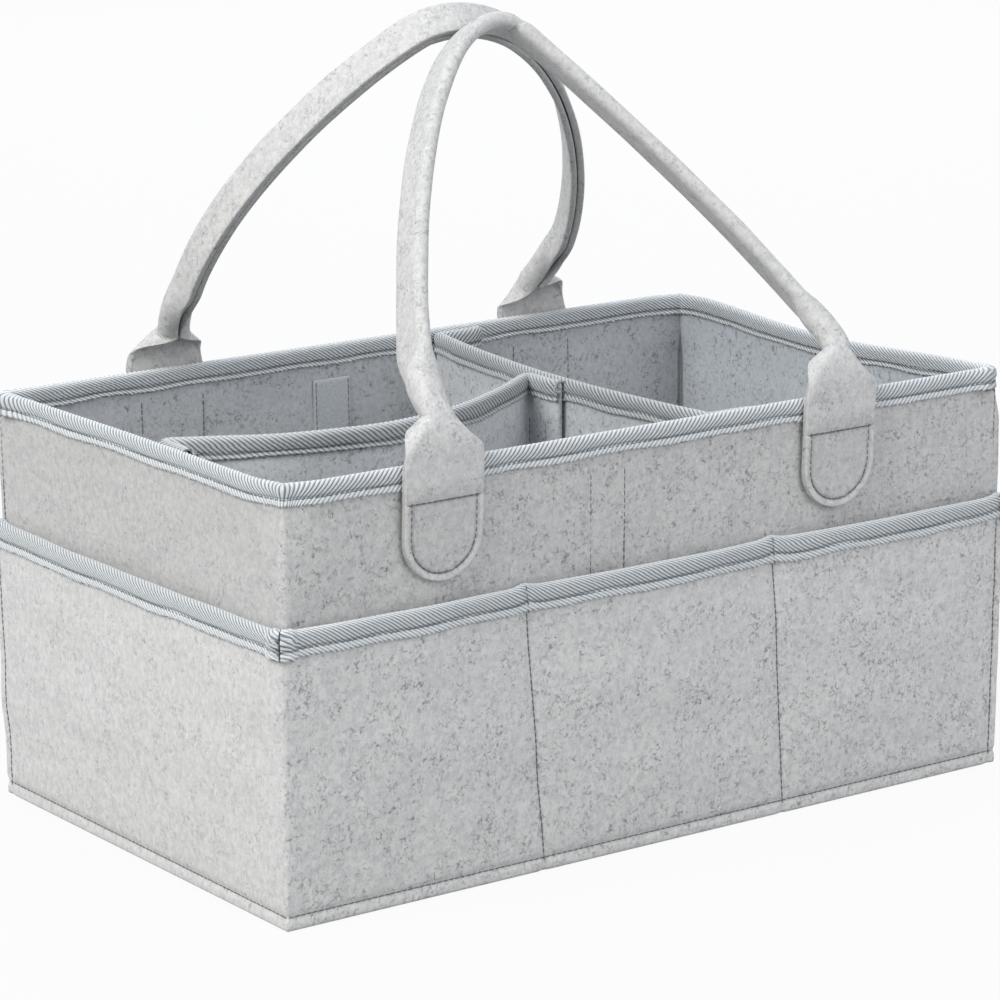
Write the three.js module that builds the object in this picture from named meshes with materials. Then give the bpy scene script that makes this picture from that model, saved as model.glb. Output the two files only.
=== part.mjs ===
// Felt nursery caddy: an open felt basket with a bound rim, a layer of pockets all round,
// two folded felt handles that lean on each other, and two loose dividers inside.
// Millimetres, +Z up, the origin in the middle of the footprint, the front towards -Y.
import * as THREE from "three";

// Body
const bodyLength = 380; // over the pocket layer at the foot
const bodyWidth = 228; // over the pocket layer at the foot
const bodyHeight = 184; // from the table to the top of the rim tape
const cornerRadius = 7; // soft fold of a wall, on its outer face
const seamHeight = 6; // foot seam above the table; the floor lies on it
const seamAllowance = 4; // corner seam to the raw edge that stands out beyond it
const seamCornerRadius = 5; // rim tape round a seamed corner, on the outer face of the wall
const flangeLength = 14; // end of a wall that is turned in behind the other wall
const flangeRadius = 5; // its fold, on the outer face

// Felt and tape
const feltThickness = 3;
const tapeThickness = 1;
const tapeLeg = 10; // depth of the folded tape on each side of an edge
const clearance = 0.3; // between layers that lie on each other

// Pockets
const pocketDrop = 58; // rim to pocket mouth
const middlePocketWidth = 126.6; // between the two upright seams of the front
const pocketBulge = 6; // how far a mouth stands out between its seams
const swellPower = 2.5; // how early a pocket swells above its foot
const tapeEndGap = 0.6; // between the ends of two mouth tapes at a corner

// Handles
const handleAboveRim = 152; // rim to the edges that meet where the handles lean together
const handleGap = 4.7; // between the edges at the two crowns
const stripWidth = 39; // felt strip at its sewn ends
const foldedWidth = 32; // and where it is folded in half
const edgeGap = 0.6; // between the edges of the folded strip
const tabLineGap = 5.5; // rim tape to the seam that the handle swings about
const tabMouthGap = 8.5; // pocket mouth to the lowest point of a sewn end
const handleStand = 12; // the strip stands this far above the rim before it leans in
const handleBendRadius = 30; // of that bend
const flatAboveRim = 2; // the strip is flat up to here
const neckAboveRim = 18; // its edges have come together here
const foldLength = 32; // and this far along it is folded with its halves side by side
const neckFlat = 4; // flat of the strip where its edges come together
const creaseFlat = 0.4; // and along the fold
const curlRadius = 2.6; // of the edges where they start to turn in
const curlPower = 0.9; // how early they do
const neckPower = 1.5; // how late a leg leans on its way to the neck
const twistDepth = 7; // fold to the line that a leg is twisted about
const twistBelowNeck = 8; // a leg is twisted from here
const twistAboveNeck = 30; // to here
const crownLength = 35; // on either side of the crown, from the twist of one leg to the other's
// End of the body to the nearest end of a handle, the middle of the handle along its wall, its crown from
// there and the slope of the crown. For each leg how far its neck is drawn in and leans out above that,
// how far leg and crown keep their direction into the curve between them, and its twist in degrees.
const frontArch = {
  inset: 86,
  shift: -8.5,
  sway: 7,
  slope: -0.45,
  legs: [
    { neckIn: 1.5, legLean: 5, legReach: 26, crownReach: 43, twist: 6 },
    { neckIn: 2.5, legLean: 32, legReach: 20, crownReach: 12, twist: 26 },
  ],
};
const backArch = {
  inset: 88,
  shift: 1,
  sway: 32,
  slope: -0.32,
  legs: [
    { neckIn: 6, legLean: 22, legReach: 55, crownReach: 67, twist: -13 },
    { neckIn: 0.5, legLean: 25, legReach: 87, crownReach: 12.5, twist: -4 },
  ],
};

// Strips of hook-and-loop tape on the walls
const wallStripWidth = 20;
const wallStripMargin = 5; // from the floor and from the rim tape
const frontStripX = -27;
const backStripX = -18.5;

// Dividers
const dividerDrop = 1; // rim to the top of a divider
const dividerFold = 4; // radius of the folds at the ends, at the middle of the felt
const tabLength = 24; // end of a divider that is folded along the wall
const hookWidth = 18;
const hookMargin = 8; // hook tape from the floor and from the divider's binding
const crossFrontX = 32;
const crossBackX = 39;
const crossBow = 10; // towards the left
const longLeftY = -5;
const longRightY = 9;
const longBow = 39; // towards the front

// Facets
const foldSteps = 5; // of a quarter turn
const pocketStep = 14; // along a pocket
const pocketRows = [0.12, 0.3, 0.55, 0.8, 1]; // up a pocket, closest where it curves most
const turnSteps = 4; // round each side of a folded handle strip
const turnShare = { least: 0.1, most: 0.9 }; // of a side that those steps spread over
const archSteps = 16; // along half of a handle's arch
const curlSteps = 5; // along the stretch where the edges turn in
const bowSteps = 12; // along a bowed divider
const samePlace = 1e-3; // points closer than this are one point

// What follows from them
const layerPitch = feltThickness + clearance; // one layer of felt and its gap
const wallHalfLength = bodyLength / 2 - layerPitch;
const wallHalfWidth = bodyWidth / 2 - layerPitch;
const seamOut = layerPitch / 2; // corner seam beyond the outer face of the wall
const wallFlare = feltThickness - tapeThickness; // brings the rim tape flush with the foot
const flareTilt = Math.atan(wallFlare / bodyHeight);
const bindingSeat = tapeThickness + clearance; // one layer of tape and its gap
const wallTop = bodyHeight - bindingSeat;
const rimTapeFoot = bodyHeight - tapeLeg;
const floorTop = seamHeight + feltThickness;
const mouthTop = bodyHeight - pocketDrop;
const swellTop = mouthTop - tapeLeg - tapeThickness; // the pocket has its full room from here up
const tabLine = rimTapeFoot - tabLineGap;
const handleFace = wallHalfWidth + wallFlare + bindingSeat + clearance; // clears the rim tape
const dividerSeat = 2 * bindingSeat + clearance + feltThickness / 2; // lets two bindings pass
const dividerTop = bodyHeight - dividerDrop;
const crossTabY = wallHalfWidth - feltThickness - dividerSeat;

const felt = new THREE.MeshStandardMaterial({ color: 0xb9bab9, roughness: 0.97, metalness: 0 });
const twill = new THREE.MeshStandardMaterial({ color: 0xb4b9ba, roughness: 0.85, metalness: 0 });
const hookTape = new THREE.MeshStandardMaterial({ color: 0x9da3a8, roughness: 0.8, metalness: 0 });

// How far the wall leans out at a height
function flareAt(height) {
  return (wallFlare * height) / bodyHeight;
}

function mesh(name, geometry, material) {
  const made = new THREE.Mesh(geometry, material);
  made.name = name;
  return made;
}

// A closed body through rings of points. A sheet's rings go along one face and back along the other,
// a disc's are convex outlines, and a loop has no ends. Faces that a trim has closed up are left out.
function loft(rings, ends) {
  const count = rings[0].length;
  const points = rings.flat();
  const index = (ring, place) => (ring % rings.length) * count + (place % count);
  const faces = [];
  const quad = (a, b, c, d) => faces.push([a, b, c], [a, c, d]);
  const spans = ends === "loop" ? rings.length : rings.length - 1;
  for (let ring = 0; ring < spans; ring++) {
    for (let place = 0; place < count; place++) {
      quad(index(ring, place), index(ring, place + 1), index(ring + 1, place + 1), index(ring + 1, place));
    }
  }
  const last = index(rings.length - 1, 0);
  for (let place = 1; ends === "disc" && place < count - 1; place++) {
    faces.push([0, place + 1, place], [last, last + place, last + place + 1]);
  }
  for (let place = 0; ends === "sheet" && place < count / 2 - 1; place++) {
    const back = count - 1 - place;
    quad(back, back - 1, place + 1, place);
    quad(last + place, last + place + 1, last + back - 1, last + back);
  }
  const apart = (a, b) => points[a].distanceTo(points[b]) > samePlace;
  const open = faces.filter(([a, b, c]) => apart(a, b) && apart(b, c) && apart(c, a));
  const cross = new THREE.Vector3();
  const volume = open.reduce(
    (sum, [a, b, c]) => sum + points[a].dot(cross.crossVectors(points[b], points[c])),
    0,
  );
  const geometry = new THREE.BufferGeometry().setFromPoints(points);
  geometry.setIndex(open.flatMap(([a, b, c]) => (volume < 0 ? [a, c, b] : [a, b, c])));
  geometry.computeVertexNormals();
  return geometry;
}

// A line on the plan through corners {x, y, radius, mark}: stations with their place, the normal
// on the left of the line and the distance along it. Marks keep the distance of their corner.
function planLine(corners, step = Infinity, loop = false) {
  const places = corners.map(({ x, y }) => new THREE.Vector2(x, y));
  const stations = [];
  const marks = {};
  const add = (point, direction) => {
    const before = stations.at(-1);
    const along = before ? before.along + before.point.distanceTo(point) : 0;
    const normal = new THREE.Vector2(-direction.y, direction.x);
    if (!before || along - before.along > samePlace) stations.push({ point, normal, along });
    return along;
  };
  const run = (to, direction) => {
    const from = stations.at(-1).point;
    const pieces = Math.max(1, Math.ceil(from.distanceTo(to) / step));
    for (let i = 1; i < pieces; i++) add(from.clone().lerp(to, i / pieces), direction);
  };
  corners.forEach(({ radius = 0, mark }, i) => {
    const here = places[i];
    const before = places[i - 1] ?? (loop ? places.at(-1) : null);
    const after = places[i + 1] ?? (loop ? places[0] : null);
    const arriving = (before ? here.clone().sub(before) : after.clone().sub(here)).normalize();
    const leaving = (after ? after.clone().sub(here) : arriving.clone()).normalize();
    const turn = Math.atan2(arriving.cross(leaving), arriving.dot(leaving));
    const reach = radius * Math.tan(Math.abs(turn) / 2);
    const entry = here.clone().addScaledVector(arriving, -reach);
    if (stations.length) run(entry, arriving);
    if (!radius) {
      const along = add(entry, arriving.clone().add(leaving).normalize());
      if (mark) marks[mark] = along;
      return;
    }
    const side = new THREE.Vector2(-arriving.y, arriving.x).multiplyScalar(Math.sign(turn));
    const centre = entry.clone().addScaledVector(side, radius);
    const steps = Math.ceil((foldSteps * Math.abs(turn)) / (Math.PI / 2));
    for (let k = 0; k <= steps; k++) {
      const angle = (turn * k) / steps;
      const direction = arriving.clone().rotateAround(new THREE.Vector2(), angle);
      const point = entry.clone().rotateAround(centre, angle);
      const along = add(point, direction);
      if (mark) marks[mark + (k ? "End" : "Start")] = along;
    }
  });
  const at = (along) => {
    const next = stations.findIndex((station) => station.along >= along - samePlace);
    const b = stations[Math.max(next, 1)];
    const a = stations[Math.max(next, 1) - 1];
    const share = (along - a.along) / (b.along - a.along);
    return { point: a.point.clone().lerp(b.point, share), normal: a.normal.clone().lerp(b.normal, share) };
  };
  return { stations, marks, at, length: stations.at(-1).along };
}

// A place on the wall: out along the normal, leaning out with the height
function onWall({ point, normal }, offset, height) {
  const out = point.clone().addScaledVector(normal, offset + flareAt(height));
  return new THREE.Vector3(out.x, out.y, height);
}

// A section of tape folded over the top edge of felt, as (offset from the middle of the felt, height):
// over the outside and back along the inside, with the fold eased at its edges
function foldedTape(top) {
  const inner = feltThickness / 2 + clearance;
  const fold = (half, ridge, ease) => [
    [half, top - tapeLeg],
    [half, ridge - ease],
    [half - ease, ridge],
    [ease - half, ridge],
    [-half, ridge - ease],
    [-half, top - tapeLeg],
  ];
  const outside = fold(inner + tapeThickness, top, tapeThickness);
  const inside = fold(inner, top - tapeThickness, clearance);
  return [...outside, ...inside.reverse()].map(([offset, height]) => new THREE.Vector2(offset, height));
}

// A section of felt standing on edge, as (offset, height), up one face and down the other
function standingFelt(heights, innerFace) {
  const up = heights.map((height) => new THREE.Vector2(innerFace, height));
  const down = heights.map((height) => new THREE.Vector2(innerFace + feltThickness, height));
  return [...up, ...down.reverse()];
}

// Floor, with its edge turned down to the table inside the walls
function basePanel() {
  const loop = (inset, height) => {
    const halfLength = wallHalfLength - layerPitch - inset;
    const halfWidth = wallHalfWidth - layerPitch - inset;
    const radius = cornerRadius - layerPitch - inset;
    const corners = [
      { x: halfLength, y: -halfWidth, radius },
      { x: -halfLength, y: -halfWidth, radius },
      { x: -halfLength, y: halfWidth, radius },
      { x: halfLength, y: halfWidth, radius },
    ];
    const line = planLine(corners, Infinity, true);
    return line.stations.map(({ point }) => new THREE.Vector3(point.x, point.y, height));
  };
  const rings = [
    loop(0, floorTop),
    loop(0, 0),
    loop(feltThickness, 0),
    loop(feltThickness, seamHeight),
  ];
  return loft(rings, "disc");
}

// Under the rim tape the walls stop short of the seamed corners, so that the tape can turn there
const trimTo = rimTapeFoot - clearance;
const trimFrom = trimTo - clearance;
const edgeReach = seamOut + seamAllowance; // raw edge beyond the outer face of the wall

function wallFrontLeft() {
  const line = planLine([
    { x: wallHalfLength + edgeReach, y: -wallHalfWidth },
    { x: wallHalfLength - seamCornerRadius, y: -wallHalfWidth, mark: "startTrim" },
    { x: -wallHalfLength, y: -wallHalfWidth, radius: cornerRadius, mark: "fold" },
    { x: -wallHalfLength, y: wallHalfWidth - seamCornerRadius, mark: "endTrim" },
    { x: -wallHalfLength, y: wallHalfWidth + edgeReach },
  ]);
  return trimmedWall(line, [0, trimFrom, trimTo, wallTop], (height) => height >= trimTo);
}

function wallBackRight() {
  const flangeX = wallHalfLength - layerPitch;
  const flangeY = wallHalfWidth - layerPitch;
  const line = planLine([
    { x: -flangeX, y: wallHalfWidth - flangeLength },
    { x: -flangeX, y: wallHalfWidth, radius: flangeRadius, mark: "startFlange" },
    { x: flangeRadius - flangeX, y: wallHalfWidth, mark: "startTrim" },
    { x: wallHalfLength, y: wallHalfWidth, radius: cornerRadius, mark: "fold" },
    { x: wallHalfLength, y: flangeRadius - flangeY, mark: "endTrim" },
    { x: wallHalfLength, y: -flangeY, radius: flangeRadius, mark: "endFlange" },
    { x: wallHalfLength - flangeLength, y: -flangeY },
  ]);
  const flangeFoot = floorTop + clearance;
  const heights = [0, flangeFoot, flangeFoot + flangeRadius, trimFrom, trimTo, wallTop];
  return trimmedWall(line, heights, (height) => height >= trimTo || height <= flangeFoot);
}

// A wall whose ends are cut back to the trim marks at some heights
function trimmedWall(line, heights, isTrimmed) {
  const section = standingFelt(heights, -feltThickness);
  const rings = line.stations.map((station) =>
    section.map(({ x: offset, y: height }) => {
      const { startTrim, endTrim } = line.marks;
      const along = THREE.MathUtils.clamp(station.along, startTrim, endTrim);
      return onWall(isTrimmed(height) ? line.at(along) : station, offset, height);
    }),
  );
  return loft(rings, "sheet");
}

function rimBinding() {
  const middle = feltThickness / 2;
  const folded = cornerRadius - middle;
  const seamed = seamCornerRadius - middle;
  const halfLength = wallHalfLength - middle;
  const halfWidth = wallHalfWidth - middle;
  const corners = [
    { x: halfLength, y: -halfWidth, radius: seamed },
    { x: -halfLength, y: -halfWidth, radius: folded },
    { x: -halfLength, y: halfWidth, radius: seamed },
    { x: halfLength, y: halfWidth, radius: folded },
  ];
  const section = foldedTape(bodyHeight);
  const rings = planLine(corners, Infinity, true).stations.map((station) =>
    section.map(({ x: offset, y: height }) => onWall(station, offset, height)),
  );
  return loft(rings, "loop");
}

// The pocket layer of one long and one short side, with its edges and corner seams this far
// beyond the outer face of the wall round the corner
function pocketLine({ edge, seam }) {
  return planLine(
    [
      { x: wallHalfLength + edge, y: -wallHalfWidth },
      { x: wallHalfLength + seam, y: -wallHalfWidth, mark: "firstSeam" },
      { x: middlePocketWidth / 2, y: -wallHalfWidth, mark: "secondSeam" },
      { x: -middlePocketWidth / 2, y: -wallHalfWidth, mark: "thirdSeam" },
      { x: -wallHalfLength, y: -wallHalfWidth, radius: cornerRadius, mark: "fold" },
      { x: -wallHalfLength, y: wallHalfWidth + seam, mark: "lastSeam" },
      { x: -wallHalfLength, y: wallHalfWidth + edge },
    ],
    pocketStep,
  );
}

// Inner face of the pocket layer from the wall: flat at the seams, standing out between them
function pocketStandOff({ marks }, along, height) {
  const pockets = [
    [marks.firstSeam, marks.secondSeam],
    [marks.secondSeam, marks.thirdSeam],
    [marks.thirdSeam, marks.foldStart],
    [marks.foldEnd, marks.lastSeam],
  ];
  const pocket = pockets.find(([from, to]) => along > from && along < to);
  const across = pocket ? Math.sin((Math.PI * (along - pocket[0])) / (pocket[1] - pocket[0])) : 0;
  const rise = THREE.MathUtils.clamp((height - seamHeight) / (mouthTop - seamHeight), 0, 1);
  const swell = 1 - (1 - rise) ** swellPower;
  const tapeRoom = bindingSeat * THREE.MathUtils.smoothstep(height, seamHeight, swellTop);
  return clearance + tapeRoom + pocketBulge * across * swell;
}

function pocketPanel(line) {
  const rows = pocketRows.map((share) => THREE.MathUtils.lerp(seamHeight, swellTop, share));
  const section = standingFelt([0, seamHeight, ...rows, mouthTop - bindingSeat], 0);
  const rings = line.stations.map((station) =>
    section.map(({ x: offset, y: height }) =>
      onWall(station, offset + pocketStandOff(line, station.along, height), height),
    ),
  );
  return loft(rings, "sheet");
}

function pocketBinding(line, from, to) {
  const between = line.stations.filter(({ along }) => along > from + samePlace && along < to - samePlace);
  const stations = [{ ...line.at(from), along: from }, ...between, { ...line.at(to), along: to }];
  const section = foldedTape(mouthTop);
  const rings = stations.map((station) => {
    const middle = pocketStandOff(line, station.along, mouthTop) + feltThickness / 2;
    return section.map(({ x: offset, y: height }) => onWall(station, offset + middle, height));
  });
  return loft(rings, "sheet");
}

function pocketSide(panelName, longName, shortName, ends) {
  const line = pocketLine(ends);
  const corner = (line.marks.foldStart + line.marks.foldEnd) / 2;
  return new THREE.Group().add(
    mesh(panelName, pocketPanel(line), felt),
    mesh(longName, pocketBinding(line, 0, corner - tapeEndGap), twill),
    mesh(shortName, pocketBinding(line, corner, line.length), twill),
  );
}

// Radius, at the middle of the felt, that turns each side of a strip far enough for its edges to meet
function closingRadius(halfFlat, turn) {
  const meet = (feltThickness * Math.sin(turn) + edgeGap) / 2;
  const side = foldedWidth / 2 - halfFlat;
  return (meet - halfFlat - side * Math.cos(turn)) / (Math.sin(turn) - turn * Math.cos(turn));
}

// How the strip is folded this far along from the neck: half its width, half of the flat along its
// middle, and the angle and radius that each side of it is turned through
function foldAt(fromNeck) {
  if (fromNeck >= 0) {
    const folded = THREE.MathUtils.smoothstep(fromNeck, 0, foldLength);
    const turn = Math.PI * (1 - folded / 2);
    const halfFlat = THREE.MathUtils.lerp(neckFlat, creaseFlat, folded) / 2;
    return { half: foldedWidth / 2, halfFlat, turn, radius: closingRadius(halfFlat, turn) };
  }
  const drawn = Math.max(1 + fromNeck / (neckAboveRim - flatAboveRim), 0);
  const half = THREE.MathUtils.lerp(stripWidth, foldedWidth, drawn) / 2;
  const halfFlat = THREE.MathUtils.lerp(half, neckFlat / 2, drawn ** curlPower);
  const radius = THREE.MathUtils.lerp(curlRadius, closingRadius(neckFlat / 2, Math.PI), drawn);
  return drawn ? { half, halfFlat, turn: Math.PI, radius } : { half, halfFlat: half / 2, turn: 0, radius };
}

// The sloping plane of a handle, by the distance up the strip from the tab line: place of the
// strip's fold line, the way up the strip and the way out of the caddy. Both crowns lean in until the
// edges of the strips are close together.
const foldRadius = closingRadius(creaseFlat / 2, Math.PI / 2);
const foldDepth = (foldedWidth - creaseFlat) / 2 - foldRadius * (Math.PI / 2 - 1);
const leanCorner = new THREE.Vector2(-handleFace - feltThickness / 2, bodyHeight + handleStand);
const crownEdge = new THREE.Vector2(-handleGap / 2, bodyHeight + handleAboveRim);
const toCrown = crownEdge.clone().sub(leanCorner);
const lean = Math.atan2(toCrown.x, toCrown.y) - Math.asin(foldDepth / toCrown.length());
const bendReach = handleBendRadius * Math.tan(lean / 2);
const bendStart = leanCorner.y - bendReach - tabLine;
const bendEnd = bendStart + handleBendRadius * lean;
const crownRise = bendEnd - bendReach + Math.sqrt(toCrown.lengthSq() - foldDepth ** 2);

function onLean(rise) {
  const angle = THREE.MathUtils.clamp((rise - bendStart) / handleBendRadius, 0, lean);
  const up = new THREE.Vector3(0, Math.sin(angle), Math.cos(angle));
  const out = new THREE.Vector3(0, -Math.cos(angle), Math.sin(angle));
  const straight = Math.min(rise, bendStart);
  const y = leanCorner.x + handleBendRadius * (1 - Math.cos(angle));
  const z = tabLine + straight + handleBendRadius * Math.sin(angle);
  const place = new THREE.Vector3(0, y, z).addScaledVector(up, Math.max(rise - bendEnd, 0));
  return { place, up, out };
}

// Stations up one leg of a handle on that plane, from the tab line to the crown
function legStations({ inset, shift, sway, slope, legs }, side) {
  const { neckIn, legLean, legReach, crownReach } = legs[side < 0 ? 0 : 1];
  const flat = bodyHeight + flatAboveRim - tabLine;
  const neck = bodyHeight + neckAboveRim - tabLine;
  const foot = shift + side * (bodyLength / 2 - inset);
  const stations = [];
  const addLeg = (rise) => {
    const share = rise / neck;
    const point = new THREE.Vector2(foot - side * neckIn * share ** neckPower, rise);
    const drawnIn = THREE.MathUtils.smoothstep(rise, flat, neck);
    const direction = new THREE.Vector2((-neckPower * side * neckIn * drawnIn) / neck, 1).normalize();
    stations.push({ point, direction, fromNeck: rise - neck });
  };
  addLeg(0);
  addLeg(flat / 2);
  for (let i = 0; i < curlSteps; i++) addLeg(THREE.MathUtils.lerp(flat, neck, i / curlSteps));
  const atNeck = new THREE.Vector2(foot - side * neckIn, neck);
  const crown = new THREE.Vector2(shift + sway, crownRise);
  const curve = new THREE.CubicBezierCurve(
    atNeck,
    new THREE.Vector2(atNeck.x + side * legLean, neck + legReach),
    new THREE.Vector2(crown.x + side * crownReach, crown.y + side * crownReach * slope),
    crown,
  );
  let before = atNeck;
  let fromNeck = 0;
  for (let i = 0; i <= archSteps; i++) {
    const share = i / archSteps;
    const point = curve.getPoint(share);
    fromNeck += point.distanceTo(before);
    before = point;
    stations.push({ point, direction: curve.getTangent(share), fromNeck });
  }
  return stations.map((station) => ({ ...station, toCrown: fromNeck - station.fromNeck }));
}

// Stations along the whole handle, with the fold and the twist of the strip there
function archStations(arch) {
  const [left, right] = arch.legs.map(({ twist }) => THREE.MathUtils.degToRad(twist));
  const rising = legStations(arch, -1).map((station) => ({ ...station, pastCrown: -station.toCrown }));
  const falling = legStations(arch, 1).map((station) => ({
    ...station,
    direction: station.direction.clone().negate(),
    pastCrown: station.toCrown,
  }));
  return [...rising, ...falling.slice(0, -1).reverse()].map(({ point, direction, fromNeck, pastCrown }) => {
    const across = THREE.MathUtils.smoothstep(pastCrown, -crownLength, crownLength);
    const turned = THREE.MathUtils.smoothstep(fromNeck, -twistBelowNeck, twistAboveNeck);
    const twist = turned * THREE.MathUtils.lerp(left, right, across);
    return { point, direction, twist, ...foldAt(fromNeck) };
  });
}

// A place on the strip: this share of the way from its flat to its edge on one side, off its middle
function onStrip({ point, direction, twist, half, halfFlat, turn, radius }, side, share, off) {
  const { place, up, out } = onLean(point.y);
  const inward = up.clone().multiplyScalar(-direction.x).add(new THREE.Vector3(direction.y, 0, 0));
  const past = share * (half - halfFlat);
  const turned = THREE.MathUtils.clamp(past / radius, 0, turn);
  const straight = Math.max(past - turn * radius, 0);
  const section = new THREE.Vector2(
    side * (halfFlat + (radius + off) * Math.sin(turned) + straight * Math.cos(turn)),
    (radius + off) * Math.cos(turned) - radius - straight * Math.sin(turn),
  );
  section.rotateAround(new THREE.Vector2(0, -twistDepth), -twist);
  place.x = point.x;
  return place.addScaledVector(inward, section.x).addScaledVector(out, section.y);
}

function handleStrip(stations) {
  const rings = stations.map((station) => {
    const { half, halfFlat, turn, radius } = station;
    const { least, most } = turnShare;
    const spread = THREE.MathUtils.clamp((turn * radius) / (half - halfFlat), least, most);
    const shares = [0];
    for (let i = 1; i <= turnSteps; i++) shares.push((spread * i) / turnSteps);
    shares.push(1);
    const face = (side, off) => shares.map((share) => onStrip(station, side, share, off));
    const outer = feltThickness / 2;
    const outside = [...face(-1, outer).reverse(), ...face(1, outer)];
    return [...outside, ...face(1, -outer).reverse(), ...face(-1, -outer)];
  });
  return loft(rings, "sheet");
}

// Sewn end of a handle: a D of felt whose straight edge is the line that the handle swings about
function handleTab() {
  const tip = mouthTop + tabMouthGap;
  const length = tabLine - clearance - tip;
  const half = stripWidth / 2;
  const round = Math.min(half, length);
  const outline = new THREE.Shape();
  outline.moveTo(half, 0);
  outline.lineTo(-half, 0);
  outline.lineTo(-half, round - length);
  outline.absellipse(0, round - length, half, round, Math.PI, 2 * Math.PI, false, 0);
  outline.closePath();
  const geometry = new THREE.ExtrudeGeometry(outline, {
    depth: feltThickness,
    bevelEnabled: false,
    curveSegments: 2 * foldSteps,
  });
  geometry.rotateX(Math.PI / 2);
  const topFace = handleFace;
  const tipFace = wallHalfWidth + flareAt(tip) + clearance;
  geometry.rotateX(Math.asin((topFace - tipFace) / length));
  return geometry.translate(0, -topFace, tabLine - clearance);
}

function handle(name, tabNames, arch) {
  const group = new THREE.Group().add(mesh(name, handleStrip(archStations(arch)), felt));
  tabNames.forEach((tabName, i) => {
    const tab = mesh(tabName, handleTab(), felt);
    tab.position.x = arch.shift + (2 * i - 1) * (bodyLength / 2 - arch.inset);
    group.add(tab);
  });
  return group;
}

// Strip of hook-and-loop tape on the inner face of the front wall, or of the back wall turned round
function wallStrip(name, x) {
  const foot = floorTop + wallStripMargin;
  const top = rimTapeFoot - wallStripMargin;
  const strip = mesh(name, new THREE.BoxGeometry(wallStripWidth, tapeThickness, top - foot), hookTape);
  const middle = (top + foot) / 2;
  const face = wallHalfWidth - feltThickness + flareAt(middle) - clearance;
  strip.position.set(x, tapeThickness / 2 - face, middle);
  strip.rotation.x = flareTilt;
  return strip;
}

// Middle line of the cross divider between its folds
function crossAt(share) {
  const x = THREE.MathUtils.lerp(crossFrontX, crossBackX, share) - crossBow * Math.sin(Math.PI * share);
  return new THREE.Vector2(x, THREE.MathUtils.lerp(-crossTabY, crossTabY, share));
}

// A divider on its plan line: felt and the tape over its top edge, moved with the walls at its ends
function dividerParts(name, line, followWall) {
  const rings = (section) =>
    line.stations.map(({ point, normal }) =>
      section.map(({ x: offset, y: height }) => {
        const place = point.clone().addScaledVector(normal, offset);
        return followWall(new THREE.Vector3(place.x, place.y, height));
      }),
    );
  const panel = standingFelt([floorTop + clearance, dividerTop - bindingSeat], -feltThickness / 2);
  const tape = foldedTape(dividerTop);
  return [
    mesh(name + "_panel", loft(rings(panel), "sheet"), felt),
    mesh(name + "_binding", loft(rings(tape), "sheet"), twill),
  ];
}

function bowedRun(at) {
  const corners = [];
  for (let i = 1; i < bowSteps; i++) {
    const { x, y } = at(i / bowSteps);
    corners.push({ x, y });
  }
  return corners;
}

// Strip of hook tape on the end of a divider
const hookFoot = floorTop + hookMargin;
const hookTop = dividerTop - tapeLeg - hookMargin;
const hookMiddle = (hookFoot + hookTop) / 2;
const hookAlong = tabLength - hookWidth / 2 - clearance; // from the fold to the middle of the strip
const hookOut = (feltThickness + tapeThickness) / 2 + clearance; // between the middles of felt and strip

function dividerHook(name) {
  return mesh(name, new THREE.BoxGeometry(hookWidth, tapeThickness, hookTop - hookFoot), hookTape);
}

function crossDivider() {
  const line = planLine([
    { x: crossFrontX + tabLength, y: -crossTabY },
    { x: crossFrontX, y: -crossTabY, radius: dividerFold, mark: "front" },
    ...bowedRun(crossAt),
    { x: crossBackX, y: crossTabY, radius: dividerFold, mark: "back" },
    { x: crossBackX + tabLength, y: crossTabY },
  ]);
  const followWall = (place) => place.setY(place.y * (1 + flareAt(place.z) / crossTabY));
  const hookY = crossTabY + hookOut + flareAt(hookMiddle);
  const frontHook = dividerHook("cross_divider_hook_front");
  frontHook.position.set(crossFrontX + hookAlong, -hookY, hookMiddle);
  frontHook.rotation.x = flareTilt;
  const backHook = dividerHook("cross_divider_hook_back");
  backHook.position.set(crossBackX + hookAlong, hookY, hookMiddle);
  backHook.rotation.x = -flareTilt;
  return new THREE.Group().add(...dividerParts("cross_divider", line, followWall), frontHook, backHook);
}

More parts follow.
